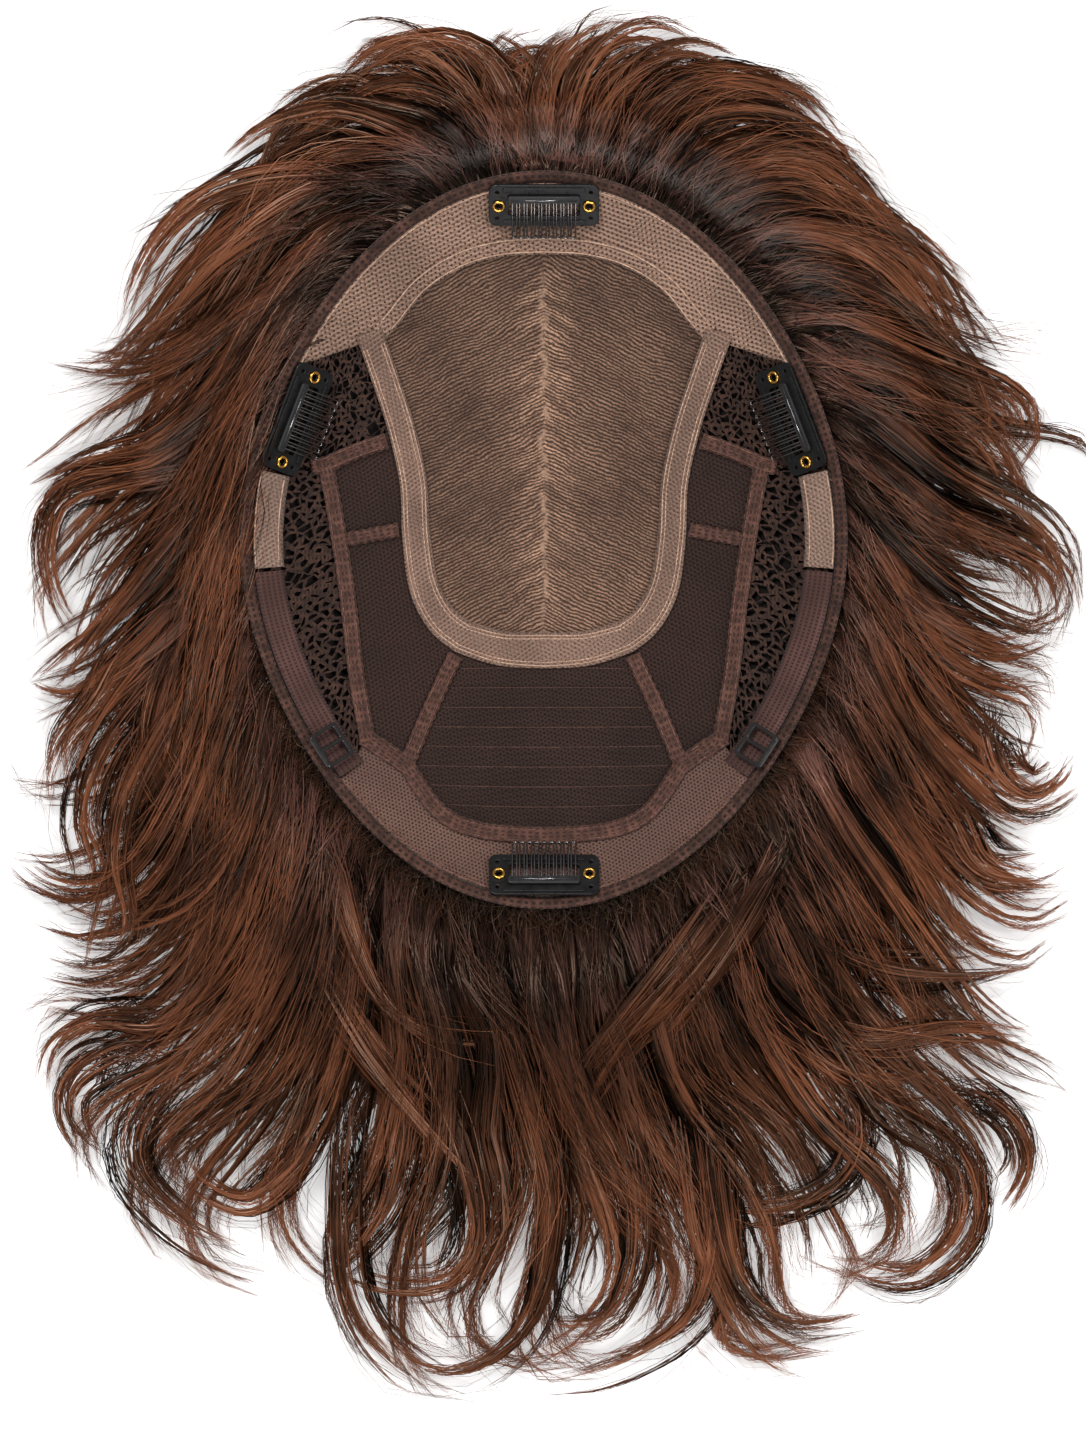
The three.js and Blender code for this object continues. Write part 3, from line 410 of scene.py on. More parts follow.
def hairMaterial(name, dark, rootHueAndSheen, warm, roughness):
    # strandLook holds the strand's tint, its share from root to tip, and a chance value
    material, tree, shader, vector = startMaterial(name)
    look = tree.nodes.new("ShaderNodeAttribute")
    look.attribute_type = "GEOMETRY"
    look.attribute_name = "strandLook"
    split = tree.nodes.new("ShaderNodeSeparateXYZ")
    tree.links.new(look.outputs["Vector"], split.inputs[0])
    patches = noiseNode(tree, vector, 40, 3.0, 0.5)
    tone = mathNode(tree, "MULTIPLY_ADD", patches, 1.3, split.outputs[0])
    tone = mathNode(tree, "MULTIPLY_ADD", split.outputs[2], 0.2,
                    mathNode(tree, "SUBTRACT", tone, 0.82), clamp=True)
    # Deep shade under the back of the cap
    place = tree.nodes.new("ShaderNodeVectorMath")
    place.operation = "DISTANCE"
    place.inputs[1].default_value = (0, -0.125, 0.03)
    tree.links.new(vector, place.inputs[0])
    shaded = remap(tree, place.outputs["Value"], 0.02, 0.095, 0.5, 1.0)
    tone = mathNode(tree, "MULTIPLY", mathNode(tree, "POWER", tone, 1.7), shaded)
    tone = mathNode(tree, "ADD", tone, remap(tree, split.outputs[1], 0.6, 0.95, 0.0, 0.42))
    # Near the root the hair takes the first colour, partly its own hue and partly a painted sheen; further out it
    # turns warm
    outer = remap(tree, split.outputs[1], 0.08, 0.5)
    shade = mixColour(tree, outer, rootHueAndSheen, warm)
    # Painted shade: the hair is darker close to its root, where it comes out from under the rim
    rootShadedTone = mathNode(tree, "MULTIPLY", tone, remap(tree, split.outputs[1], 0.0, 0.15, 0.45, 1.0))
    tree.links.new(mixColour(tree, rootShadedTone, dark, shade), shader.inputs["Base Color"])
    shader.inputs["Roughness"].default_value = roughness
    shader.inputs["Specular IOR Level"].default_value = 0.34
    shader.inputs["Specular Tint"].default_value = (1.0, 0.68, 0.5, 1)
    fine = noiseNode(tree, vector, 1800, 2.0)
    addBump(tree, shader, fine, 0.15, 0.0001)
    return material


finish = dict(
    mono=monoMaterial(),
    lace=laceMaterial("tanLace", linear(182, 146, 126), linear(44, 30, 24), 820, 0.55),
    band=laceMaterial("brownLace", linear(132, 99, 87), linear(30, 20, 16), 1040, 0.5,
                      rows=(620, 420), warp=2.4, rowShare=0.22),
    border=laceMaterial("borderLace", linear(156, 125, 109), linear(76, 57, 48), 900, 0.64,
                        rows=(700, 500)),
    mesh=laceMaterial("darkMesh", linear(64, 41, 33), linear(7, 4, 3), 900, 0.48, rows=(700, 420)),
    weft=laceMaterial("weftMesh", linear(60, 39, 31), linear(6, 3, 2), 960, 0.46, rows=(560, 60),
                      warp=1.2, rowShare=0.3),
    net=ribbonMaterial("netThread", linear(78, 53, 43), linear(40, 26, 21), bump=0.4),
    tape=ribbonMaterial("brownRibbon", linear(112, 76, 65), linear(62, 41, 34)),
    rim=ribbonMaterial("rimRibbon", linear(98, 66, 55), linear(44, 28, 22)),
    tab=laceMaterial("paleTab", linear(170, 140, 124), linear(92, 70, 60), 900, 0.64,
                     rows=(700, 500)),
    elastic=ribbonMaterial("ribbedElastic", linear(110, 76, 70), linear(60, 39, 35), 700, 950,
                           crinkles=60),
    seamTan=ribbonMaterial("tanThread", linear(226, 190, 164), linear(176, 142, 122), bump=0.2),
    seamDim=ribbonMaterial("weftThread", linear(96, 68, 59), linear(66, 45, 39), bump=0.2),
    seamBrown=ribbonMaterial("brownThread", linear(138, 98, 84), linear(92, 64, 54), bump=0.2),
    plastic=glossMaterial("blackEnamel", linear(14, 13, 14), 0.3, gloss=0.35),
    grip=glossMaterial("blackGrip", linear(30, 29, 31), 0.42, gloss=0.4),
    wire=glossMaterial("combWire", linear(120, 118, 118), 0.22, metallic=1.0),
    frameWire=glossMaterial("adjusterWire", linear(30, 27, 27), 0.2, gloss=0.6),
    brass=glossMaterial("eyeletBrass", linear(226, 168, 78), 0.25, metallic=1.0),
    hair=hairMaterial("chestnutHair", linear(4, 2, 1), linear(110, 74, 65), linear(144, 87, 59),
                      0.3),
    # shadedHair is a darker copy of the hair: painted shade for the under layer and the short edge hairs
    hairDark=hairMaterial("shadedHair", linear(4, 2, 1), linear(30, 18, 14), linear(96, 57, 38),
                          0.38),
    hairBedShade=glossMaterial("deepHairShade", linear(15, 8, 6), 0.7, gloss=0.15),
)
print("studio groups and finishes built")


# Cap surface, the same bowl as the solids
def rimRadius(angle):
    c, s = np.cos(angle), np.sin(angle)
    ellipse = 1 / np.hypot(c / cap["halfWidth"], s / cap["halfLength"])
    waist = np.where(s > 0, cap["frontWaist"], cap["backWaist"])
    return ellipse * (1 - waist * np.sin(2 * angle) ** 2)


def bowlHeight(x, y):
    share = np.hypot(x, y) / rimRadius(np.arctan2(y, x))
    return cap["crownHeight"] + cap["depth"] * share ** cap["bowlPower"]


def bowlNormal(x, y):
    step = 0.05
    slopeX = (bowlHeight(x + step, y) - bowlHeight(x - step, y)) / (2 * step)
    slopeY = (bowlHeight(x, y + step) - bowlHeight(x, y - step)) / (2 * step)
    normal = np.stack([-slopeX, -slopeY, np.ones_like(slopeX)], axis=-1)
    return normal / np.linalg.norm(normal, axis=-1, keepdims=True)


def onCap(points, height):
    # Straight over its place in the plan, this far from the bowl
    points = np.asarray(points, float)
    x, y = points[..., 0], points[..., 1]
    rise = height / bowlNormal(x, y)[..., 2]
    return np.stack([x, y, bowlHeight(x, y) + rise], axis=-1)


def rimPoint(angle, inset=0.0):
    step = 0.01
    at = lambda a: np.stack([np.cos(a), np.sin(a)], axis=-1) * rimRadius(a)[..., None]
    angle = np.asarray(angle, float)
    along = at(angle + step) - at(angle - step)
    along /= np.linalg.norm(along, axis=-1, keepdims=True)
    inward = np.stack([-along[..., 1], along[..., 0]], axis=-1)
    return at(angle) + inward * np.asarray(inset)[..., None]


def rimArc(start, end, inset, count=80):
    return rimPoint(np.radians(np.linspace(start, end, count + 1)), inset)


def rimTurn(degrees, distance):
    angle = math.radians(degrees)
    step = 0.01
    speed = np.linalg.norm(rimPoint(angle + step) - rimPoint(angle - step)) / (2 * step)
    return degrees + math.degrees(distance / speed)


# Plan curves, left half; u and v are shares of the cap's half width and half length
seamWidth = dict(frontSeam=4.6, borderSide=7.8, borderBack=10.4, rib=4.4, upperCross=4.4,
                 lowerCross=4,
                 diagonal=4.4, corner=5, back=4.4)
clipSize = dict(length=32, width=13.8, edge=0.6, seamGap=0.6)
clipRoom = cap["rimTapeWidth"] + clipSize["edge"] + clipSize["width"] + 2 * clipSize["seamGap"]
frontReach = (cap["halfLength"] - clipRoom - seamWidth["frontSeam"] / 2) / cap["halfLength"]
backReach = (cap["halfLength"] - clipRoom - seamWidth["back"] / 2) / cap["halfLength"]
laceCorner, bandCorner = 0.545, -0.61


def betweenShares(rows, start, end):
    return [(u, start + (end - start) * share) for u, share in rows]


planLines = dict(
    front=betweenShares([(0, 1), (-0.145, 0.971), (-0.283, 0.842), (-0.409, 0.581), (-0.508, 0.204),
                         (-0.57, 0)],
                        laceCorner, frontReach),
    side=[(-0.57, 0.545), (-0.527, 0.444), (-0.475, 0.312), (-0.435, 0.163), (-0.425, 0.014),
          (-0.399, -0.122),
          (-0.342, -0.212), (-0.267, -0.262)],
    back=[(-0.267, -0.262), (-0.14, -0.292), (0, -0.298)],
    upper=[(-0.468, 0.285), (-0.606, 0.25), (-0.722, 0.208)],
    lower=[(-0.424, 0.04), (-0.678, 0)],
    rib=[(-0.722, 0.208), (-0.699, 0.108), (-0.672, -0.03), (-0.646, -0.184), (-0.622, -0.36),
         (-0.583, -0.54)],
    corner=[(-0.583, -0.54), (-0.455, -0.61)],
    diagonal=[(-0.267, -0.262), (-0.372, -0.447), (-0.455, -0.61)],
    backLine=betweenShares([(-0.455, 0), (-0.346, 0.655), (-0.211, 0.92), (0, 1)], bandCorner,
                           -backReach),
)
places = dict(laceEnd=145, upperCrossEnd=168, tabEnd=185.7, strapEnd=223, bandStart=229,
              sideClip=154.5)


def inPlan(rows):
    return np.array(rows, float) * [cap["halfWidth"], cap["halfLength"]]


def lengthOf(points):
    return float(np.linalg.norm(np.diff(points, axis=0), axis=1).sum())


def resample(points, count):
    points = np.asarray(points, float)
    walked = np.concatenate([[0], np.cumsum(np.linalg.norm(np.diff(points, axis=0), axis=1))])
    at = np.linspace(0, walked[-1], count + 1)
    return np.stack([np.interp(at, walked, points[:, k]) for k in range(points.shape[1])], axis=1)


def spline(points, count=90):
    # Smooth curve through a few points
    points = np.asarray(points, float)
    fine = []
    last = len(points) - 1
    for i in range(last):
        p0, p1, p2, p3 = points[max(i - 1, 0)], points[i], points[i + 1], points[min(i + 2, last)]
        t = np.linspace(0, 1, 24, endpoint=False)[:, None]
        v0, v1 = (p2 - p0) / 2, (p3 - p1) / 2
        fine.append((2 * p1 - 2 * p2 + v0 + v1) * t ** 3
                    + (-3 * p1 + 3 * p2 - 2 * v0 - v1) * t ** 2 + v0 * t + p1)
    fine.append(points[-1:])
    return resample(np.concatenate(fine), count)


def trimmed(points, fromStart, fromEnd):
    fine = resample(points, 400)
    at = np.linspace(0, lengthOf(points), 401)
    return fine[(at >= fromStart) & (at <= at[-1] - fromEnd)]


def nearest(points, target):
    return int(np.argmin(np.linalg.norm(points - target, axis=1)))


def joined(*lines):
    out = lines[0]
    for line in lines[1:]:
        out = np.concatenate([out, line[1:]])
    return out


def extended(line, distance):
    before = line[0] + (line[0] - line[2]) / np.linalg.norm(line[0] - line[2]) * distance
    after = line[-1] + (line[-1] - line[-3]) / np.linalg.norm(line[-1] - line[-3]) * distance
    return np.concatenate([[before], line, [after]])


def offsetLine(points, distance):
    along = np.gradient(points, axis=0)
    along /= np.linalg.norm(along, axis=1, keepdims=True)
    sideways = np.stack([-along[:, 1], along[:, 0]], axis=1)
    return points + sideways * np.broadcast_to(distance, len(points))[:, None]


def sideLines(mirror):
    flip = np.array([-1, 1]) if mirror else np.array([1, 1])
    inset = cap["rimTapeWidth"] + clipSize["seamGap"] / 2
    lines = {name: spline(inPlan(rows)) for name, rows in planLines.items()}
    side, rib = lines["side"], lines["rib"]
    crossStart = nearest(side, inPlan(planLines["upper"])[0])
    lowerEnd = nearest(side, inPlan(planLines["lower"])[0])
    lowerStart = nearest(rib, inPlan(planLines["lower"])[1])
    crossEnd, laceEnd, bandEnd = (rimPoint(math.radians(places[name]), inset)
                                  for name in ("upperCrossEnd", "laceEnd", "bandStart"))
    upperRows = inPlan(planLines["upper"])
    lines["upper"] = spline(np.array([side[crossStart], upperRows[1], upperRows[2]]))
    lines["upperOuter"] = spline(np.array([upperRows[2], crossEnd]))
    lines["lower"] = spline(np.array([side[lowerEnd], rib[lowerStart]]))
    lines["lace"] = spline(np.array([side[0], laceEnd]))
    lines["bandTop"] = spline(np.array([inPlan(planLines["corner"])[0], bandEnd]))
    lines = {name: line * flip for name, line in lines.items()}
    lines["rim"] = lambda start, end: rimArc(start, end, inset) * flip
    lines["cuts"] = (crossStart, lowerEnd, lowerStart)
    return lines


left, right = sideLines(False), sideLines(True)


def fourSided(start, end, first, last, columns, rows):
    # Sheet of plan points between four edges
    a, b = resample(start, columns), resample(end, columns)
    c, d = resample(first, rows), resample(last, rows)
    s = np.linspace(0, 1, columns + 1)[None, :, None]
    t = np.linspace(0, 1, rows + 1)[:, None, None]
    edges = a[None] * (1 - t) + b[None] * t + c[:, None] * (1 - s) + d[:, None] * s
    corners = (a[0] * (1 - s) + a[-1] * s) * (1 - t) + (b[0] * (1 - s) + b[-1] * s) * t
    return edges - corners


# Meshes
def makePiece(name, points, faces, material, uv=None, smooth=True, replacing=()):
    mesh = bpy.data.meshes.new(name)
    mesh.from_pydata((np.asarray(points) * mm).tolist(), [], faces)
    mesh.validate()
    mesh.update()
    if smooth:
        mesh.polygons.foreach_set("use_smooth", [True] * len(mesh.polygons))
    if uv is not None:
        layer = mesh.uv_layers.new(name="lengthwise")
        corners = np.empty(len(mesh.loops), int)
        mesh.loops.foreach_get("vertex_index", corners)
        layer.data.foreach_set("uv", (np.asarray(uv) * mm)[corners].ravel())
    mesh.materials.append(material)
    piece = bpy.data.objects.new(name, mesh)
    bpy.context.collection.objects.link(piece)
    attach(piece, "root")
    if replacing:
        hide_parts(*replacing)
    return piece


def sheetMesh(grid, thickness):
    # Closed thin sheet round a grid of 3-D points
    rows, columns = grid.shape[:2]
    up = surfaceNormals(grid)
    points = np.concatenate([(grid + up * thickness / 2).reshape(-1, 3),
                             (grid - up * thickness / 2).reshape(-1, 3)])
    half = rows * columns
    at = lambda j, i: j * columns + i
    faces = []
    for j in range(rows - 1):
        for i in range(columns - 1):
            quad = (at(j, i), at(j, i + 1), at(j + 1, i + 1), at(j + 1, i))
            faces.append(quad)
            faces.append(tuple(v + half for v in reversed(quad)))
    loop = [at(0, i) for i in range(columns - 1)] + [at(j, columns - 1) for j in range(rows - 1)]
    loop += [at(rows - 1, i)
             for i in range(columns - 1, 0, -1)] + [at(j, 0) for j in range(rows - 1, 0, -1)]
    for k, a in enumerate(loop):
        b = loop[(k + 1) % len(loop)]
        faces.append((a, a + half, b + half, b))
    return points, faces


def surfaceNormals(grid):
    along = np.gradient(grid, axis=1)
    down = np.gradient(grid, axis=0)
    normal = np.cross(along, down)
    normal /= np.linalg.norm(normal, axis=-1, keepdims=True) + 1e-12
    return normal * np.where(normal[..., 2:3] < 0, -1, 1)


def ripples(x, y, size, amount):
    # Slow unevenness of cloth that is held only at its seams
    return amount * (np.sin(x / size + 1.7 * np.sin(y / (1.3 * size)))
                     + np.sin(y / (0.8 * size) + 0.9)) / 2


def buildPanel(name, grid, material, pucker=0.12):
    draped = onCap(grid, lift["panel"])
    draped[..., 2] += ripples(grid[..., 0], grid[..., 1], 6.5, pucker)
    points, faces = sheetMesh(draped, 0.5)
    uv = points[:, :2]
    piece = makePiece(f"{name}_cloth", points, faces, material, uv=uv, replacing=[name])
    return piece


def buildPanels():
    frontLine = joined(left["front"][::-1], right["front"])
    backSeam = joined(left["back"], right["back"][::-1])
    lowerLine = joined(left["backLine"], right["backLine"][::-1])
    innerBand = joined(left["corner"], lowerLine, right["corner"][::-1])
    buildPanel("mono_top", fourSided(frontLine, backSeam, left["side"], right["side"], 60, 70),
               finish["mono"],
               0.25)
    buildPanel("front_lace", fourSided(left["rim"](places["laceEnd"], 180 - places["laceEnd"]),
                                       frontLine,
                                       left["lace"][::-1], right["lace"][::-1], 90, 14),
                                       finish["lace"])
    buildPanel("weft_panel", fourSided(backSeam, lowerLine, left["diagonal"], right["diagonal"], 50,
                                       36),
               finish["weft"], 0.2)
    buildPanel("back_band", fourSided(left["rim"](places["bandStart"], 540 - places["bandStart"]),
                                      innerBand,
                                      left["bandTop"][::-1], right["bandTop"][::-1], 90, 12),
                                      finish["band"])
    for name, lines in (("left", left), ("right", right)):
        crossStart, lowerEnd, lowerStart = lines["cuts"]
        square = fourSided(lines["upper"], lines["lower"], lines["side"][crossStart:lowerEnd + 1],
                           lines["rib"][:lowerStart + 1], 20, 24)
        buildPanel(f"mesh_square_{name}", square, finish["mesh"])
        inner = joined(lines["side"][lowerEnd:], lines["diagonal"])
        long = fourSided(lines["lower"], lines["corner"][::-1], inner, lines["rib"][lowerStart:],
                         20, 50)
        buildPanel(f"mesh_panel_{name}", long, finish["mesh"])
    print("cap panels built")


# Coarse nets: honeycomb threads along the sheet's own grid
netSize = dict(cell=2.5, thread=0.5, thick=0.45, uneven=0.38, pull=1.9, steps=80, rowShare=0.87,
               leastCover=0.31)


def buildNet(name, start, end, first, last):
    long = max(lengthOf(first), lengthOf(last))
    wide = max(lengthOf(start), lengthOf(end))
    steps = netSize["steps"]
    grid = fourSided(start, end, first, last, steps, steps)
    columns = max(4, round(wide / netSize["cell"]))
    rows = max(6, round(long / (netSize["cell"] * netSize["rowShare"])))

    def sample(s, t):
        s, t = np.clip(s, 0, 1) * steps, np.clip(t, 0, 1) * steps
        i, j = np.minimum(s.astype(int), steps - 1), np.minimum(t.astype(int), steps - 1)
        fs, ft = (s - i)[:, None], (t - j)[:, None]
        top = grid[j, i] * (1 - fs) + grid[j, i + 1] * fs
        low = grid[j + 1, i] * (1 - fs) + grid[j + 1, i + 1] * fs
        return top * (1 - ft) + low * ft

    points, faces = [], []
    netRandom = np.random.default_rng(len(name) + seed)
    for row in range(rows):
        for column in range(columns + 1):
            s = (column + 0.5 * (row % 2)) / columns
            t = (row + 0.5) / rows
            if s > 1:
                continue
            pulled = netSize["pull"] * (1 + 0.5 * netRandom.standard_normal())
            turns = np.radians(60 * np.arange(6) + 30)
            jitter = 1 + 0.16 * netRandom.standard_normal(6)
            outerS, outerT = s + np.cos(turns) * 0.578 / columns, t + np.sin(turns) * 0.667 / rows
            drawnS = (netSize["uneven"] / columns
                      * np.sin(2.3 * rows * outerT + 2 * np.sin(1.9 * columns * outerS)))
            drawnT = (netSize["uneven"] / rows
                      * np.sin(2.7 * columns * outerS + 2 * np.sin(2.1 * rows * outerT)))
            outerS, outerT = outerS + drawnS, outerT + drawnT
            share = np.clip(1 - netSize["thread"] / netSize["cell"] * pulled, 0.2, 0.85)
            midS, midT = outerS.mean(), outerT.mean()
            innerS, innerT = (midS + (outerS - midS) * share * jitter,
                              midT + (outerT - midT) * share * jitter)
            ring = [sample(outerS, outerT), sample(innerS, innerT)]
            first6, second6 = (onCap(r, lift["panel"] + netSize["thick"] / 2) for r in ring)
            third6, fourth6 = (onCap(r, lift["panel"] - netSize["thick"] / 2) for r in ring)
            base = len(points)
            points.extend(np.concatenate([first6, second6, third6, fourth6]).tolist())
            for k in range(6):
                m = (k + 1) % 6
                faces.append((base + k, base + m, base + 6 + m, base + 6 + k))
                faces.append((base + 12 + m, base + 12 + k, base + 18 + k, base + 18 + m))
                faces.append((base + 6 + k, base + 6 + m, base + 18 + m, base + 18 + k))
    points = np.array(points)
    piece = makePiece(f"{name}_knit", points, faces, finish["net"], uv=points[:, :2], smooth=False,
                      replacing=[name])


def buildNets():
    for name, lines in (("left", left), ("right", right)):
        crossStart = lines["cuts"][0]
        buildNet(f"front_net_{name}", lines["lace"], joined(lines["upper"], lines["upperOuter"]),
                 lines["side"][:crossStart + 1],
                 lines["rim"](places["laceEnd"], places["upperCrossEnd"]))
        buildNet(f"side_net_{name}", lines["upperOuter"], lines["bandTop"], lines["rib"],
                 lines["rim"](places["upperCrossEnd"], places["bandStart"]))
    print("nets built")


# Ribbons and bands sewn over the seams
ribbon = dict(thick=0.7, gatherPitch=2.6, gather=0.22, scallop=0.12, columns=6)


def buildStrip(name, line, width, height, material, gather=1.0, crown=0.25):
    steps = max(12, int(lengthOf(line) / 0.7))
    centre = resample(line, steps)
    share = np.linspace(0, 1, steps + 1)
    half = (width(share) if callable(width) else np.full(steps + 1, float(width))) / 2
    travel = share * lengthOf(line)
    wave = np.sin(2 * math.pi * travel / ribbon["gatherPitch"] + 1.3 * np.sin(travel / 5.1))
    half = half + ribbon["scallop"] * gather * wave
    grid = []
    uv = []
    for column in range(ribbon["columns"] + 1):
        across = column / ribbon["columns"] * 2 - 1
        line2 = offsetLine(centre, half * across)
        points = onCap(line2, height)
        fold = np.sin(2 * math.pi * travel / ribbon["gatherPitch"] + 2.2 * across
                      + 1.3 * np.sin(travel / 5.1))
        points[:, 2] += ribbon["gather"] * gather * fold + crown * (1 - across ** 2)
        grid.append(points)
        uv.append(np.stack([half * across, travel], axis=1))
    grid = np.stack(grid)
    points, faces = sheetMesh(grid, ribbon["thick"])
    flat = np.stack(uv).reshape(-1, 2)
    return makePiece(f"{name}_sewn", points, faces, material, uv=np.concatenate([flat, flat]),
                     replacing=[name])


def buildRibbons():
    gap = clipSize["seamGap"]
    frontLine = joined(left["front"][::-1], right["front"])
    cornerTrim = (seamWidth["borderSide"] + seamWidth["frontSeam"]) / 2
    buildStrip("front_seam", trimmed(frontLine, 0.4 * cornerTrim, 0.4 * cornerTrim),
               seamWidth["frontSeam"],
               lift["tape"] - 0.3, finish["lace"], gather=0.15)
    border = joined(left["side"], left["back"], right["back"][::-1], right["side"][::-1])
    ease = lambda s: (lambda t: t * t * (3 - 2 * t))(np.clip(3.2 * np.abs(s - 0.5), 0, 1))
    borderWidth = lambda s: seamWidth["borderBack"] + (seamWidth["borderSide"]
                                                       - seamWidth["borderBack"]) * ease(s)
    buildStrip("panel_border", extended(border, 2.2), borderWidth, lift["tape"], finish["border"],
               gather=0.2)
    backSeam = joined(left["backLine"], right["backLine"][::-1])
    buildStrip("back_tape", extended(backSeam, 0.5), seamWidth["back"], lift["tape"] + 0.1,
               finish["tape"])
    for name, lines in (("left", left), ("right", right)):
        borderTrim = seamWidth["borderSide"] / 2 + 2 * gap
        clipTrim = clipSize["edge"] + clipSize["width"] + 2 * gap
        upper = joined(lines["upper"], lines["upperOuter"])
        # columns: node, line, width, how much lower it lies
        for node, line, width, lower in (
                ("upper_cross_tape", trimmed(upper, borderTrim, clipTrim), seamWidth["upperCross"],
                 0.1),
                ("rib_tape", extended(lines["rib"], 0.8), seamWidth["rib"], 0),
                ("lower_cross_tape", trimmed(lines["lower"], borderTrim, gap),
                 seamWidth["lowerCross"], 0.18),
                ("diagonal_tape", trimmed(lines["diagonal"], seamWidth["borderBack"] / 2 + gap,
                                          gap),
                 seamWidth["diagonal"], 0.14),
                ("corner_tape", extended(lines["corner"], 1.4), seamWidth["corner"], 0.22)):
            buildStrip(f"{node}_{name}", line, width, lift["tape"] - lower, finish["tape"],
                       gather=1.3)
    print("ribbons built")


def buildRim():
    # Rolled band round the whole edge
    steps, sides = 420, 12
    angle = 2 * math.pi * np.arange(steps) / steps
    travel = angle * 98
    points, uv = [], []
    for k in range(sides):
        turn = 2 * math.pi * k / sides
        across = 1.8 - 1.75 * math.cos(turn)
        wave = 0.1 * np.sin(travel / 0.55 + 2 * math.sin(3 * turn))
        ring = onCap(rimPoint(angle, across + 0 * angle), 0.55)
        ring[:, 2] += 0.75 * math.sin(turn) + wave
        points.append(ring)
        uv.append(np.stack([0 * angle + k * 0.6, travel], axis=1))
    points = np.stack(points, axis=1).reshape(-1, 3)
    uv = np.stack(uv, axis=1).reshape(-1, 2)
    faces = []
    for i in range(steps):
        n = (i + 1) % steps
        for k in range(sides):
            m = (k + 1) % sides
            faces.append((i * sides + k, i * sides + m, n * sides + m, n * sides + k))
    makePiece("rim_band", points, faces, finish["rim"], uv=uv, replacing=["rim_tape"])
    print("rim built")


# Stitches: short threads laid along a seam
stitch = dict(pitch=1.3, length=1.05, radius=0.27, lift=0.14)
weftRows = dict(count=9, first=0.1, last=0.93, sag=0.05)


def stitchLine(line, height):
    length = lengthOf(line)
    starts = np.arange(0.4, length - stitch["length"], stitch["pitch"])
    walked = np.concatenate([[0], np.cumsum(np.linalg.norm(np.diff(line, axis=0), axis=1))])
    at = lambda d: np.stack([np.interp(d, walked, line[:, k]) for k in range(2)], axis=1)
    ends = [onCap(at(starts + share * stitch["length"]), height + rise)
            for share, rise in ((0, -0.15), (0.3, stitch["lift"]), (0.7, stitch["lift"]),
                                (1, -0.15))]
    return np.stack(ends, axis=1)


def buildStitches(name, lines, material):
    # Every stitch is a small closed tube
    paths = np.concatenate([stitchLine(line, height) for line, height in lines])
    shapes = [tube(path, stitch["radius"], 3) for path in paths]
    points, faces = merged(shapes)
    makePiece(name, points, faces, material, uv=points[:, :2])
    print(name, len(paths), "stitches")


def buildSeams():
    top = lift["tape"] + ribbon["thick"] / 2 + 0.1
    border = joined(left["side"], left["back"], right["back"][::-1], right["side"][::-1])
    wide = seamWidth["borderSide"] + (seamWidth["borderBack"] - seamWidth["borderSide"]) * (
        1 - np.clip(3.2 * np.abs(np.linspace(-0.5, 0.5, len(border))), 0, 1)) ** 0.8
    frontLine = joined(left["front"][::-1], right["front"])
    tan = []
    for side in (-1, 1):
        for inset in (0.7, 1.7):
            tan.append((trimmed(offsetLine(border, side * (wide / 2 - inset)), 1.5, 1.5), top))
        tan.append((trimmed(offsetLine(frontLine, side * (seamWidth["frontSeam"] / 2 - 0.5)), 6, 6),
                    top))
    tan.append((rimArc(32, 148, cap["rimTapeWidth"] + 0.9), lift["panel"] + 0.35))
    for flip in (1, -1):
        for inset in (0.9, strap["tabWidth"] - 0.5):
            tab = rimArc(places["sideClip"] + 12.5, places["tabEnd"] - 0.6,
                         cap["rimTapeWidth"] + inset)
            tan.append((tab * [flip, 1], top + 0.25))
    brown = []
    for start, end, inset in ((231, 309, 0.8), (231, 309, 1.8)):
        brown.append((rimArc(start, end, cap["rimTapeWidth"] + inset), lift["panel"] + 0.35))
    backLine = joined(left["backLine"], right["backLine"][::-1])
    brown += [(trimmed(offsetLine(backLine, side * (seamWidth["back"] / 2 - 0.6)), 4, 4), top)
              for side in (-1, 1)]
    for lines in (left, right):
        for key, width in (("rib", seamWidth["rib"]), ("diagonal", seamWidth["diagonal"]),
                           ("corner", seamWidth["corner"])):
            brown += [(trimmed(offsetLine(lines[key], side * (width / 2 - 0.6)), 6, 3.5), top)
                      for side in (-1, 1)]
        upper = joined(lines["upper"], lines["upperOuter"])
        brown += [(trimmed(offsetLine(upper, side * (seamWidth["upperCross"] / 2 - 0.6)), 6, 16),
                   top) for side in (-1, 1)]
    buildStitches("pale_stitches", tan, finish["seamTan"])
    buildStitches("brown_stitches", brown, finish["seamBrown"])
    # Rows where the hair wefts are sewn across the back panel
    inner = spline(np.concatenate([left["backLine"], right["backLine"][::-1]]), 200)
    rows = []
    backSeam = joined(left["back"], right["back"][::-1])
    for share in np.linspace(weftRows["first"], weftRows["last"], weftRows["count"]):
        y = backSeam[:, 1].min() * (1 - share) + inner[:, 1].min() * share
        leftEdge = joined(left["diagonal"], left["backLine"])
        edge = np.interp(-y, -leftEdge[:, 1], leftEdge[:, 0])
        x = np.linspace(edge + 3.2, -edge - 3.2, 60)
        if x[-1] > x[0]:
            sag = -weftRows["sag"] * (1 - (x / edge) ** 2) * 40 * (share - 0.3)
            rows.append((np.stack([x, y + sag], axis=1), lift["panel"] + 0.3))
    buildStitches("weft_stitches", rows, finish["seamDim"])


strap = dict(tabWidth=8.1, width=7.8, side=1.6, bar=1.15, thick=1.2, adjusterLength=11,
             loopLength=9)


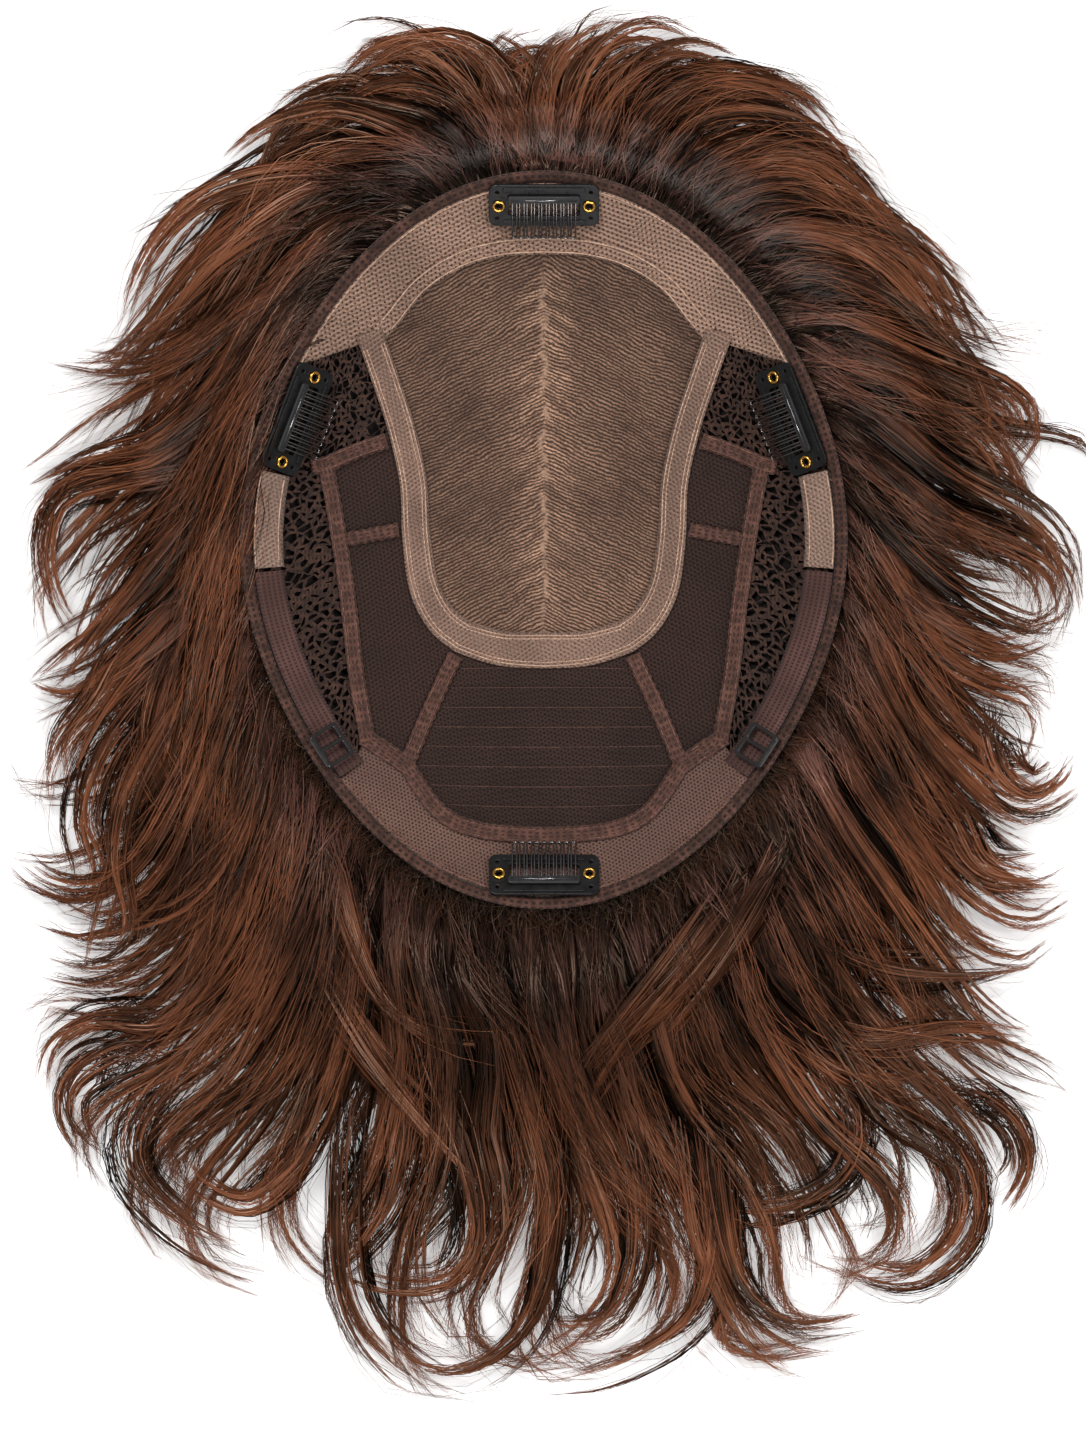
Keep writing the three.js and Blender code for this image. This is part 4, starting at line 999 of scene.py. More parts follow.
def buildStraps():
    wedge = strap["tabWidth"] * clipSize["length"] / 2 / cap["halfLength"]
    gap = clipSize["seamGap"]
    clipEnd = rimTurn(places["sideClip"], clipSize["length"] / 2 + 2 * gap + wedge)
    tabLine = cap["rimTapeWidth"] + gap + strap["tabWidth"] / 2
    strapLine = cap["rimTapeWidth"] + gap + strap["width"] / 2
    strapStart = rimTurn(places["tabEnd"], 2 * gap)
    loopStart = rimTurn(places["strapEnd"], gap)
    loopEnd = rimTurn(loopStart, strap["loopLength"])
    for name, flip in (("left", 1), ("right", -1)):
        run = lambda start, end, inset: rimArc(start, end, inset) * [flip, 1]
        buildStrip(f"ear_tab_{name}", run(clipEnd, places["tabEnd"], tabLine), strap["tabWidth"],
                   lift["tape"],
                   finish["tab"], gather=0.1)
        buildStrip(f"elastic_strap_{name}", run(strapStart, places["strapEnd"], strapLine),
                   strap["width"],
                   lift["tape"], finish["elastic"], gather=0.25)
        buildStrip(f"strap_loop_{name}", run(loopStart, loopEnd, strapLine), strap["width"],
                   lift["tape"],
                   finish["elastic"], gather=0.15)
    return strapLine, (places["strapEnd"] + loopStart) / 2


# Hard parts are drawn flat (u along the rim, v inwards, w up) and seated on the cap
def seatMatrix(degrees, inset, halfWidth, corners, height):
    angle, step = math.radians(degrees), 0.01
    near = rimPoint(angle, inset + halfWidth)
    up = bowlNormal(near[0], near[1])
    middle = rimPoint(angle, inset + halfWidth * up[2])
    along = rimPoint(angle + step) - rimPoint(angle - step)
    along = np.array([*along / np.linalg.norm(along), 0])
    across = np.cross(up, along)
    across /= np.linalg.norm(across)
    forward = np.cross(across, up)
    basis = np.stack([forward, across, up], axis=1)
    origin = onCap(middle, 0)
    placed = np.array(corners, float) @ basis.T + origin
    needed = (height / bowlNormal(placed[:, 0], placed[:, 1])[:, 2]
              - (placed[:, 2] - bowlHeight(placed[:, 0], placed[:, 1])))
    origin[2] += needed.max()
    return basis, origin


def roundedOutline(centre, size, radius, steps=5):
    points = []
    for turn, sx, sy in ((0, 1, 1), (90, -1, 1), (180, -1, -1), (270, 1, -1)):
        for k in range(steps + 1):
            a = math.radians(turn + 90 * k / steps)
            points.append((centre[0] + sx * (size[0] / 2 - radius) + radius * math.cos(a),
                           centre[1] + sy * (size[1] / 2 - radius) + radius * math.sin(a)))
    return points


def circle(centre, radius, steps=16):
    return [(centre[0] + radius * math.cos(2 * math.pi * k / steps),
             centre[1] + radius * math.sin(2 * math.pi * k / steps))
            for k in range(steps)]


def punchedPlate(outlines, thick, bevel):
    # Flat plate with holes and rounded edges, by way of a filled curve
    curve = bpy.data.curves.new("punched", "CURVE")
    curve.dimensions = "2D"
    curve.fill_mode = "BOTH"
    curve.extrude = thick / 2 - bevel
    curve.bevel_depth = bevel
    curve.bevel_resolution = 2
    curve.offset = -bevel
    for outline in outlines:
        track = curve.splines.new("POLY")
        track.points.add(len(outline) - 1)
        for point, (u, v) in zip(track.points, outline):
            point.co = (u, v, 0, 1)
        track.use_cyclic_u = True
    holder = bpy.data.objects.new("punched", curve)
    bpy.context.collection.objects.link(holder)
    evaluated = holder.evaluated_get(bpy.context.evaluated_depsgraph_get())
    mesh = bpy.data.meshes.new_from_object(evaluated)
    points = np.array([v.co[:] for v in mesh.vertices])
    faces = [tuple(p.vertices) for p in mesh.polygons]
    bpy.data.objects.remove(holder)
    bpy.data.curves.remove(curve)
    bpy.data.meshes.remove(mesh)
    points[:, 2] += thick / 2
    return points, faces


def tube(path, radius, sides=8, closed=False):
    path = np.asarray(path, float)
    along = np.gradient(path, axis=0)
    if closed:
        along = np.roll(path, -1, axis=0) - np.roll(path, 1, axis=0)
    along /= np.linalg.norm(along, axis=1, keepdims=True)
    helper = np.array([0.03, 0.05, 1.0])
    sideways = np.cross(along, helper)
    sideways /= np.linalg.norm(sideways, axis=1, keepdims=True)
    upward = np.cross(sideways, along)
    turns = 2 * math.pi * np.arange(sides) / sides
    rings = (path[:, None] + radius * (np.cos(turns)[None, :, None] * sideways[:, None]
                                       + np.sin(turns)[None, :, None] * upward[:, None]))
    faces = []
    count = len(path)
    for i in range(count if closed else count - 1):
        n = (i + 1) % count
        for k in range(sides):
            m = (k + 1) % sides
            faces.append((i * sides + k, i * sides + m, n * sides + m, n * sides + k))
    if not closed:
        faces.append(tuple(range(sides)))
        faces.append(tuple(range(count * sides - 1, (count - 1) * sides - 1, -1)))
    return rings.reshape(-1, 3), faces


def merged(shapes):
    points, faces, start = [], [], 0
    for shapePoints, shapeFaces in shapes:
        points.append(shapePoints)
        faces.extend(tuple(v + start for v in face) for face in shapeFaces)
        start += len(shapePoints)
    return np.concatenate(points), faces


def seated(name, shape, seat, material, replacing, smooth=False):
    points, faces = shape
    basis, origin = seat
    return makePiece(name, points @ basis.T + origin, faces, material, replacing=replacing,
                     smooth=smooth)


clip = dict(thick=0.9, corner=2.3, windowLength=20.5, windowWidth=4.6, windowShift=1.2,
            gripLength=21, gripWidth=2.6,
            gripThick=1.0, combLength=19.2, combReach=3.6, teeth=9, wire=0.27, eyeletInset=2.9,
            eyeletRadius=1.5,
            eyeletWire=0.42, pinHole=0.55)


def clipShapes():
    halfLength, halfWidth = clipSize["length"] / 2, clipSize["width"] / 2
    shift = clip["windowShift"]
    holes = [roundedOutline((0, shift), (clip["windowLength"], clip["windowWidth"]), 0.9)]
    for side in (-1, 1):
        holes.append(circle((side * (halfLength - clip["eyeletInset"]), 0), 1.0))
        for v in (-4.3, 4.3):
            holes.append(circle((side * (halfLength - 2.4), v), clip["pinHole"], 10))
    outline = roundedOutline((0, 0), (clipSize["length"], clipSize["width"]), clip["corner"])
    plate = punchedPlate([outline, *holes], clip["thick"], 0.2)
    top = clip["thick"] + 0.3
    ridge = punchedPlate([roundedOutline((0, -halfWidth + 1.5), (clip["gripLength"] + 3, 1.3),
                                         0.6)], 0.5, 0.15)
    ridge[0][:, 2] += clip["thick"] - 0.05
    ridge2 = punchedPlate([roundedOutline((0, halfWidth - 1.6), (clip["gripLength"] + 3, 1.1),
                                          0.5)], 0.5, 0.15)
    ridge2[0][:, 2] += clip["thick"] - 0.05
    gripCentre = shift - clip["windowWidth"] / 2 - clip["gripWidth"] / 2
    grip = punchedPlate([roundedOutline((0, gripCentre), (clip["gripLength"], clip["gripWidth"]),
                                        0.8)],
                        clip["gripThick"], 0.3)
    grip[0][:, 2] += top
    wires = []
    root, tip = gripCentre, halfWidth + clip["combReach"]
    pitch = clip["combLength"] / clip["teeth"]
    wires.append(tube([(-clip["combLength"] / 2, root, top + 1.0),
                       (clip["combLength"] / 2, root, top + 1.0)], clip["wire"]))
    for k in range(clip["teeth"]):
        u = (k + 0.5) * pitch - clip["combLength"] / 2
        t = np.linspace(0, 1, 12)
        half = 0.3 * pitch
        rise = top + 0.6 + 0.7 * np.sin(np.pi * t)
        forward = np.stack([np.full(12, u - half), root + (tip - half - root) * t, rise], axis=1)
        turn = np.linspace(math.pi, 0, 8)[1:-1]
        bend = np.stack([u + half * np.cos(turn), tip - half + half * np.sin(turn),
                         np.full(6, top + 0.6)], axis=1)
        backward = forward[::-1] + [2 * half, 0, 0]
        wires.append(tube(np.concatenate([forward, bend, backward]), clip["wire"], 6))
    rings = []
    for side in (-1, 1):
        a = 2 * math.pi * np.arange(20) / 20
        centre = side * (halfLength - clip["eyeletInset"])
        ring = np.stack([centre + clip["eyeletRadius"] * np.cos(a),
                         clip["eyeletRadius"] * np.sin(a),
                         np.full(20, top + 0.15)], axis=1)
        rings.append(tube(ring, clip["eyeletWire"], 8, closed=True))
    return merged([plate, ridge, ridge2]), grip, merged(wires), rings


def buildClips():
    plate, grip, comb, rings = clipShapes()
    halfLength, halfWidth = clipSize["length"] / 2, clipSize["width"] / 2
    top = clip["thick"] + 0.3
    corners = [(s * halfLength, t * halfWidth, 0) for s in (-1, 1) for t in (-1, 1)]
    corners += [(s * clip["combLength"] / 2, halfWidth + clip["combReach"], top) for s in (-1, 1)]
    angles = dict(front=90, left=places["sideClip"], right=180 - places["sideClip"], back=270)
    for name, degrees in angles.items():
        seat = seatMatrix(degrees, cap["rimTapeWidth"] + clipSize["edge"], halfWidth, corners,
                          lift["tape"] + 0.1)
        seated(f"clip_plate_{name}_cast", plate, seat, finish["plastic"], [f"clip_plate_{name}"])
        seated(f"clip_grip_{name}_pad", grip, seat, finish["grip"], [f"clip_grip_{name}"])
        seated(f"clip_comb_{name}_wires", comb, seat, finish["wire"], [f"clip_comb_{name}"],
               smooth=True)
        for k, ring in enumerate(rings):
            seated(f"eyelet_{name}_{k + 1}_ring", ring, seat, finish["brass"],
                   [f"eyelet_{name}_{k + 1}"],
                   smooth=True)
    print("clips built")


def buildAdjusters(strapLine, centre):
    halfWidth = strap["width"] / 2 + strap["side"]
    slot = (strap["adjusterLength"] - 3 * strap["bar"]) / 2
    holes = [roundedOutline((side * (slot + strap["bar"]) / 2, 0), (slot, strap["width"]), 0.5)
             for side in (-1, 1)]
    frameShape = punchedPlate([roundedOutline((0, 0), (strap["adjusterLength"], 2 * halfWidth),
                                              1.2), *holes],
                              strap["thick"], 0.35)
    corners = [(s * strap["adjusterLength"] / 2, t * halfWidth, 0) for s in (-1, 1)
               for t in (-1, 1)]
    for name, degrees in (("left", centre), ("right", 180 - centre)):
        seat = seatMatrix(degrees, strapLine - halfWidth, halfWidth, corners, lift["top"] + 0.7)
        seated(f"adjuster_{name}_frame", frameShape, seat, finish["frameWire"],
               [f"adjuster_{name}"])
    print("adjusters built")


placeCamera()
buildStudio()
buildPanels()
buildNets()
buildRibbons()
buildRim()
strapLine, adjusterCentre = buildStraps()
buildClips()
buildAdjusters(strapLine, adjusterCentre)
buildSeams()


# Hair: flat strands in wisps, wisps in locks, locks in three layers
hair = dict(points=12, halfWidth=0.16, crest=49, frontReach=24, sideReach=40, backReach=86,
            edgeHeight=7, tipHeight=1.2,
            rootInset=2.6, wisps=7, bedShare=0.56, backShare=0.86, seed=11)
hairLimit = dict(side=158, front=156, back=250, give=0.35)
# The tint column is lower for the layers that lie deeper: painted shade of hair that lies under other hair
# columns: layer, locks for each guide, strands, width, rise, shortest, longest, tint, bend, spread
# at the root, loose
hairLayers = [("under", 3, 40, 15, 0.4, 0.6, 0.92, 0.3, 0.35, 12, 0.05),
              ("middle", 3, 62, 7.5, 2.4, 0.7, 1.0, 0.3, 0.55, 10, 0.05),
              ("upper", 1, 130, 8.5, 4.6, 0.86, 1.02, 0.66, 0.3, 10, 0.05),
              ("stray", 1, 40, 14, 5.6, 0.6, 0.99, 0.86, 0.6, 12, 1.0)]
crossing = dict(strands=124, width=12.5, rise=5.2, tint=0.76, rootWidth=11, sunk=7, loose=0.1,
                near=16)
hairRandom = np.random.default_rng(hair["seed"])

# Locks as they lie, root to tip, at places in the photograph (x, y); each starts at the nearest rim
# point
frontLocks = [
    [(528, 170), (520, 120), (505, 78), (525, 45), (560, 38)],
    [(512, 172), (490, 118), (455, 72), (415, 45), (372, 48), (338, 82)],
    [(492, 178), (455, 135), (405, 102), (345, 96), (285, 124), (240, 165), (207, 195)],
    [(465, 186), (415, 150), (350, 148), (270, 190), (200, 262), (148, 335), (120, 400)],
    [(440, 196), (380, 180), (305, 210), (225, 290), (165, 375), (105, 440), (32, 492)],
    [(410, 208), (345, 218), (272, 272), (205, 335), (140, 368), (95, 368), (52, 358)],
    [(382, 226), (318, 250), (252, 318), (188, 402), (130, 462), (85, 505), (40, 560)],
    [(352, 250), (300, 288), (240, 372), (180, 455), (110, 505), (70, 550), (44, 600), (62, 640)],
    [(326, 280), (278, 332), (225, 420), (165, 510), (112, 575), (80, 640), (75, 690)],
    [(302, 312), (255, 378), (212, 468), (152, 570), (95, 640), (28, 686)],
    [(284, 345), (240, 425), (202, 520), (145, 620), (92, 668), (25, 676)],
    [(268, 385), (230, 470), (195, 575), (140, 670), (92, 720), (52, 748)],
]
sideLocks = [
    [(256, 430), (222, 520), (190, 630), (148, 720), (105, 765), (72, 770)],
    [(248, 475), (218, 570), (192, 680), (170, 760), (195, 805), (232, 818), (272, 800)],
    [(245, 520), (215, 620), (182, 730), (130, 820), (65, 856), (12, 842)],
    [(247, 565), (220, 665), (190, 775), (138, 860), (80, 900), (16, 868)],
    [(254, 605), (230, 705), (200, 810), (150, 895), (95, 932), (42, 915)],
    [(262, 645), (242, 745), (212, 850), (160, 940), (100, 975), (30, 958)],
    [(275, 685), (256, 790), (222, 895), (165, 985), (100, 1015), (48, 1008), (28, 1040)],
    [(290, 722), (272, 825), (238, 930), (178, 1010), (105, 1040), (52, 1062), (38, 1096)],
    [(305, 755), (292, 860), (255, 965), (190, 1050), (122, 1092), (84, 1130), (92, 1185),
     (124, 1206)],
    [(325, 785), (314, 885), (282, 985), (225, 1080), (165, 1135), (140, 1190), (160, 1245),
     (202, 1264)],
]
backLocks = [
    [(345, 812), (338, 905), (322, 1005), (275, 1100), (222, 1160), (202, 1215), (232, 1262),
     (300, 1276)],
    [(365, 835), (360, 935), (350, 1035), (315, 1130), (285, 1195), (300, 1250), (340, 1290),
     (372, 1302)],
    [(390, 858), (388, 955), (398, 1055), (380, 1150), (345, 1222), (348, 1290), (380, 1345),
     (418, 1362)],
    [(418, 876), (420, 965), (446, 1062), (446, 1160), (404, 1250), (392, 1318), (420, 1378),
     (488, 1398)],
    [(452, 890), (462, 985), (495, 1082), (500, 1180), (474, 1262), (470, 1322), (512, 1368),
     (590, 1378)],
    [(488, 898), (494, 990), (520, 1090), (548, 1185), (534, 1270), (516, 1330), (548, 1372),
     (600, 1366)],
    [(520, 902), (532, 1000), (560, 1100), (600, 1195), (612, 1285), (588, 1345), (560, 1368)],
    [(552, 904), (566, 1000), (585, 1100), (640, 1200), (668, 1282), (640, 1342), (590, 1364)],
    [(588, 900), (605, 995), (625, 1095), (690, 1192), (722, 1270), (716, 1330), (765, 1358),
     (850, 1346)],
    [(625, 890), (648, 985), (678, 1085), (742, 1175), (778, 1250), (782, 1308), (828, 1322),
     (868, 1308)],
    [(662, 876), (688, 965), (722, 1055), (785, 1145), (828, 1215), (836, 1272), (800, 1300)],
    [(698, 856), (728, 945), (762, 1035), (828, 1115), (886, 1178), (896, 1238), (850, 1276),
     (800, 1262)],
    [(728, 832), (765, 922), (808, 1012), (878, 1092), (940, 1150), (962, 1212), (928, 1268),
     (872, 1288)],
]
rightLocks = [
    [(755, 802), (800, 892), (848, 982), (915, 1062), (976, 1122), (1002, 1180), (980, 1230)],
    [(780, 770), (828, 862), (880, 950), (945, 1030), (1008, 1082), (1066, 1100)],
    [(800, 732), (848, 822), (900, 912), (960, 985), (1012, 1030), (1058, 1052)],
    [(815, 692), (862, 782), (912, 872), (968, 940), (1020, 968), (1052, 948)],
    [(828, 652), (872, 742), (922, 830), (978, 895), (1030, 918), (1064, 894)],
    [(838, 612), (882, 702), (932, 788), (985, 855), (1035, 882), (1074, 856)],
    [(846, 570), (888, 658), (936, 740), (985, 795), (1030, 808), (1072, 768)],
    [(849, 528), (886, 612), (935, 690), (980, 745), (1012, 776), (1040, 790)],
    [(847, 485), (885, 565), (940, 640), (992, 690), (1028, 720), (1015, 772)],
    [(842, 445), (882, 515), (940, 580), (998, 612), (1045, 622), (1066, 578)],
    [(832, 405), (882, 462), (942, 512), (1000, 535), (1048, 568), (1062, 610), (1048, 640)],
]
frontRightLocks = [
    [(818, 368), (872, 410), (932, 448), (985, 480), (1035, 520), (1062, 575), (1050, 630)],
    [(800, 335), (855, 360), (915, 392), (972, 425), (1015, 465), (1040, 520)],
    [(782, 302), (838, 315), (900, 340), (965, 372), (1020, 402), (1028, 440), (1008, 466)],
    [(758, 272), (815, 270), (880, 290), (935, 325), (975, 370), (992, 430), (980, 480)],
    [(730, 245), (785, 228), (850, 236), (915, 270), (955, 320), (974, 370)],
    [(702, 224), (752, 190), (818, 186), (885, 222), (935, 270), (968, 322)],
    [(672, 206), (715, 160), (778, 142), (842, 172), (888, 222), (912, 262)],
    [(642, 192), (678, 138), (730, 110), (790, 118), (832, 152), (850, 192)],
    [(612, 180), (640, 120), (688, 82), (745, 82), (802, 102), (838, 150)],
    [(585, 174), (605, 112), (642, 68), (690, 52), (735, 66)],
    [(562, 170), (572, 112), (592, 66), (625, 40), (660, 38), (690, 58)],
]
# Lit locks that lie over the others; their inner ends are hidden
crossLocks = [
    [(536, 166), (517, 115), (489, 62), (443, 40), (397, 48), (351, 78), (332, 102)],
    [(508, 175), (462, 111), (406, 88), (351, 102), (295, 139), (259, 175)],
    [(485, 175), (416, 139), (342, 115), (277, 129), (240, 157), (212, 189)],
    [(416, 194), (351, 175), (277, 175), (208, 194), (162, 235), (134, 286), (120, 342)],
    [(392, 203), (323, 185), (249, 222), (194, 277), (157, 332), (129, 392)],
    [(360, 231), (295, 222), (222, 259), (166, 314), (111, 360), (58, 360)],
    [(332, 277), (259, 295), (194, 342), (139, 365), (74, 365)],
    [(277, 360), (222, 388), (157, 443), (92, 466), (34, 499)],
    [(259, 392), (203, 425), (148, 462), (74, 476), (40, 512), (30, 554)],
    [(249, 416), (194, 462), (120, 480), (62, 499), (44, 554), (55, 609), (74, 637)],
    [(231, 462), (185, 517), (139, 577), (92, 637), (50, 684), (32, 688)],
    [(215, 560), (170, 620), (120, 665), (70, 690), (26, 678)],
    [(200, 600), (150, 660), (105, 710), (72, 760), (70, 800), (92, 822)],
    [(180, 590), (135, 640), (98, 700), (66, 740), (62, 790)],
    [(190, 640), (140, 700), (100, 760), (84, 820), (100, 870), (96, 920)],
    [(215, 640), (165, 720), (128, 800), (120, 870), (104, 930), (96, 975)],
    [(230, 700), (180, 780), (140, 850), (98, 884), (50, 878), (12, 846)],
    [(160, 720), (130, 790), (118, 860), (128, 920), (112, 960)],
    [(205, 590), (166, 680), (154, 748), (185, 800), (222, 822), (258, 811)],
    [(262, 700), (256, 800), (222, 876), (175, 918), (110, 936)],
    [(208, 1010), (152, 1020), (92, 1020), (51, 1047), (39, 1093)],
    [(185, 1043), (120, 1056), (78, 1084), (74, 1121), (102, 1167)],
    [(277, 1030), (185, 1070), (139, 1116), (134, 1167), (171, 1213), (222, 1246), (277, 1260)],
    [(319, 1080), (315, 1130), (295, 1167), (249, 1204), (199, 1186), (175, 1153)],
    [(296, 830), (286, 909), (259, 973), (217, 1019), (175, 1066), (152, 1116)],
    [(312, 790), (330, 852), (350, 930), (384, 1002), (438, 1036), (520, 1040)],
    [(284, 860), (300, 930), (328, 990), (372, 1060), (435, 1130), (505, 1200)],
    [(398, 1040), (404, 1120), (388, 1204), (351, 1255), (318, 1284)],
    [(404, 960), (430, 1060), (462, 1150), (476, 1232), (452, 1278), (406, 1287), (360, 1278),
     (323, 1246)],
    [(362, 1000), (350, 1110), (346, 1235), (360, 1310), (397, 1361), (448, 1396)],
    [(530, 1000), (548, 1110), (552, 1215), (533, 1310), (485, 1361), (429, 1370), (383, 1338),
     (369, 1301)],
    [(800, 790), (778, 860), (740, 930), (700, 985), (655, 1035), (610, 1100)],
    [(772, 822), (744, 890), (704, 950), (658, 1012), (612, 1062), (572, 1135)],
    [(745, 848), (716, 908), (676, 962), (630, 1018), (590, 1074), (562, 1140)],
    [(774, 850), (802, 925), (866, 964), (935, 973), (1005, 964), (1048, 948)],
    [(765, 930), (802, 1005), (866, 1038), (959, 1024), (1051, 1029)],
    [(783, 970), (820, 1050), (894, 1084), (959, 1075)],
    [(820, 1030), (857, 1110), (848, 1167), (802, 1200), (737, 1209), (681, 1204)],
    [(880, 1080), (940, 1135), (968, 1186), (959, 1241), (912, 1278), (857, 1273), (820, 1250)],
    [(920, 1070), (1000, 1112), (1023, 1163), (996, 1218)],
    [(690, 1000), (712, 1110), (722, 1205), (737, 1278), (774, 1320), (820, 1329), (866, 1320)],
    [(668, 1010), (690, 1130), (706, 1240), (746, 1320), (792, 1357), (829, 1361)],
    [(676, 1000), (700, 1120), (714, 1225), (695, 1310), (635, 1352), (571, 1370), (540, 1374)],
    [(600, 1020), (632, 1140), (640, 1250), (612, 1318), (566, 1329), (530, 1322)],
    [(940, 780), (980, 858), (1032, 867), (1074, 856)],
    [(985, 690), (998, 765), (1032, 793), (1062, 775), (1070, 750)],
    [(900, 470), (955, 520), (1010, 545), (1050, 575), (1058, 620)],
    [(880, 560), (940, 620), (1000, 650), (1055, 632)],
    [(800, 330), (870, 350), (940, 378), (1000, 410), (1024, 450)],
    [(740, 250), (800, 232), (865, 250), (925, 300), (965, 360)],
    [(690, 215), (745, 170), (815, 168), (875, 215), (915, 270)],
    [(620, 182), (650, 118), (705, 82), (765, 90), (815, 120)],
    [(546, 168), (549, 120), (558, 80), (582, 50), (614, 38), (644, 46)],
    [(540, 168), (536, 118), (541, 78), (560, 48), (588, 34)],
    [(551, 168), (544, 115), (530, 75), (505, 48), (476, 40)],
]
lockGuides = [*frontLocks, *sideLocks, *backLocks, *rightLocks, *frontRightLocks]


def bedReach(angle):
    front, back = np.maximum(0, np.sin(angle)), np.maximum(0, -np.sin(angle))
    return (hair["sideReach"] + (hair["backReach"] - hair["sideReach"]) * back ** 0.9
            - (hair["sideReach"] - hair["frontReach"]) * front ** 4)


def moundHeight(x, y):
    # Top of the hair that lies under the cap and spreads to the table
    angle = np.arctan2(y, x)
    out = np.hypot(x, y) - rimRadius(angle)
    share = np.clip(out / bedReach(angle), 0, 1)
    ease = share * share * (3 - 2 * share)
    beside = hair["crest"] + (hair["edgeHeight"] - hair["crest"]) * ease
    past = np.clip((out - bedReach(angle)) / 30, 0, 1)
    beside = beside + (hair["tipHeight"] - hair["edgeHeight"]) * past
    inside = np.minimum(hair["crest"], bowlHeight(x, y) - 1.3)
    return np.where(out < 0, inside, beside)


def fromPhoto(pixels):
    # Undoes the small perspective of the lens, which depends on the height
    pixels = np.asarray(pixels, float)
    plan = (np.stack([pixels[:, 0] - photo["originX"], photo["originY"] - pixels[:, 1]], axis=1)
            * photo["scale"])
    centre = (np.array([photo["width"] / 2 - photo["originX"],
                        photo["originY"] - photo["height"] / 2]) * photo["scale"])
    height = moundHeight(plan[:, 0], plan[:, 1])
    reach = (photo["distance"] + photo["rimHeight"] - height) / photo["distance"]
    return centre + (plan - centre) * reach[:, None]


def guidePath(pixels, count=40):
    plan = fromPhoto(pixels)
    angle = np.arctan2(plan[0, 1], plan[0, 0])
    plan[0] = rimPoint(angle, hair["rootInset"])
    return spline(plan, count)


def bendEnds(path, sweep, start=0.45):
    # Turns the outer part of a path by a growing angle, in radians
    steps = np.diff(path, axis=0)
    share = np.linspace(0, 1, len(steps))
    turn = sweep * np.clip((share - start) / (1 - start), 0, 1) ** 1.3
    c, s = np.cos(turn), np.sin(turn)
    turned = np.stack([c * steps[:, 0] - s * steps[:, 1], s * steps[:, 0] + c * steps[:, 1]],
                      axis=1)
    return np.concatenate([path[:1], path[:1] + np.cumsum(turned, axis=0)])


def movedPath(path, shift, turn, size):
    # The same lock growing from another place on the rim
    start = np.arctan2(path[0, 1], path[0, 0])
    radius = float(rimRadius(start))
    root = rimPoint(start + shift / radius, hair["rootInset"])
    angle = shift / radius * 0.8 + turn
    c, s = math.cos(angle), math.sin(angle)
    away = (path - path[0]) * size
    return root + np.stack([c * away[:, 0] - s * away[:, 1], s * away[:, 0] + c * away[:, 1]],
                           axis=1)


def wavedPath(path, amount, pitch, phase):
    # Slow wave to the side, none at the root
    walked = np.linspace(0, lengthOf(path), len(path))
    grown = np.clip(walked / 45, 0, 1)
    return offsetLine(path, amount * grown * np.sin(2 * math.pi * walked / pitch + phase))


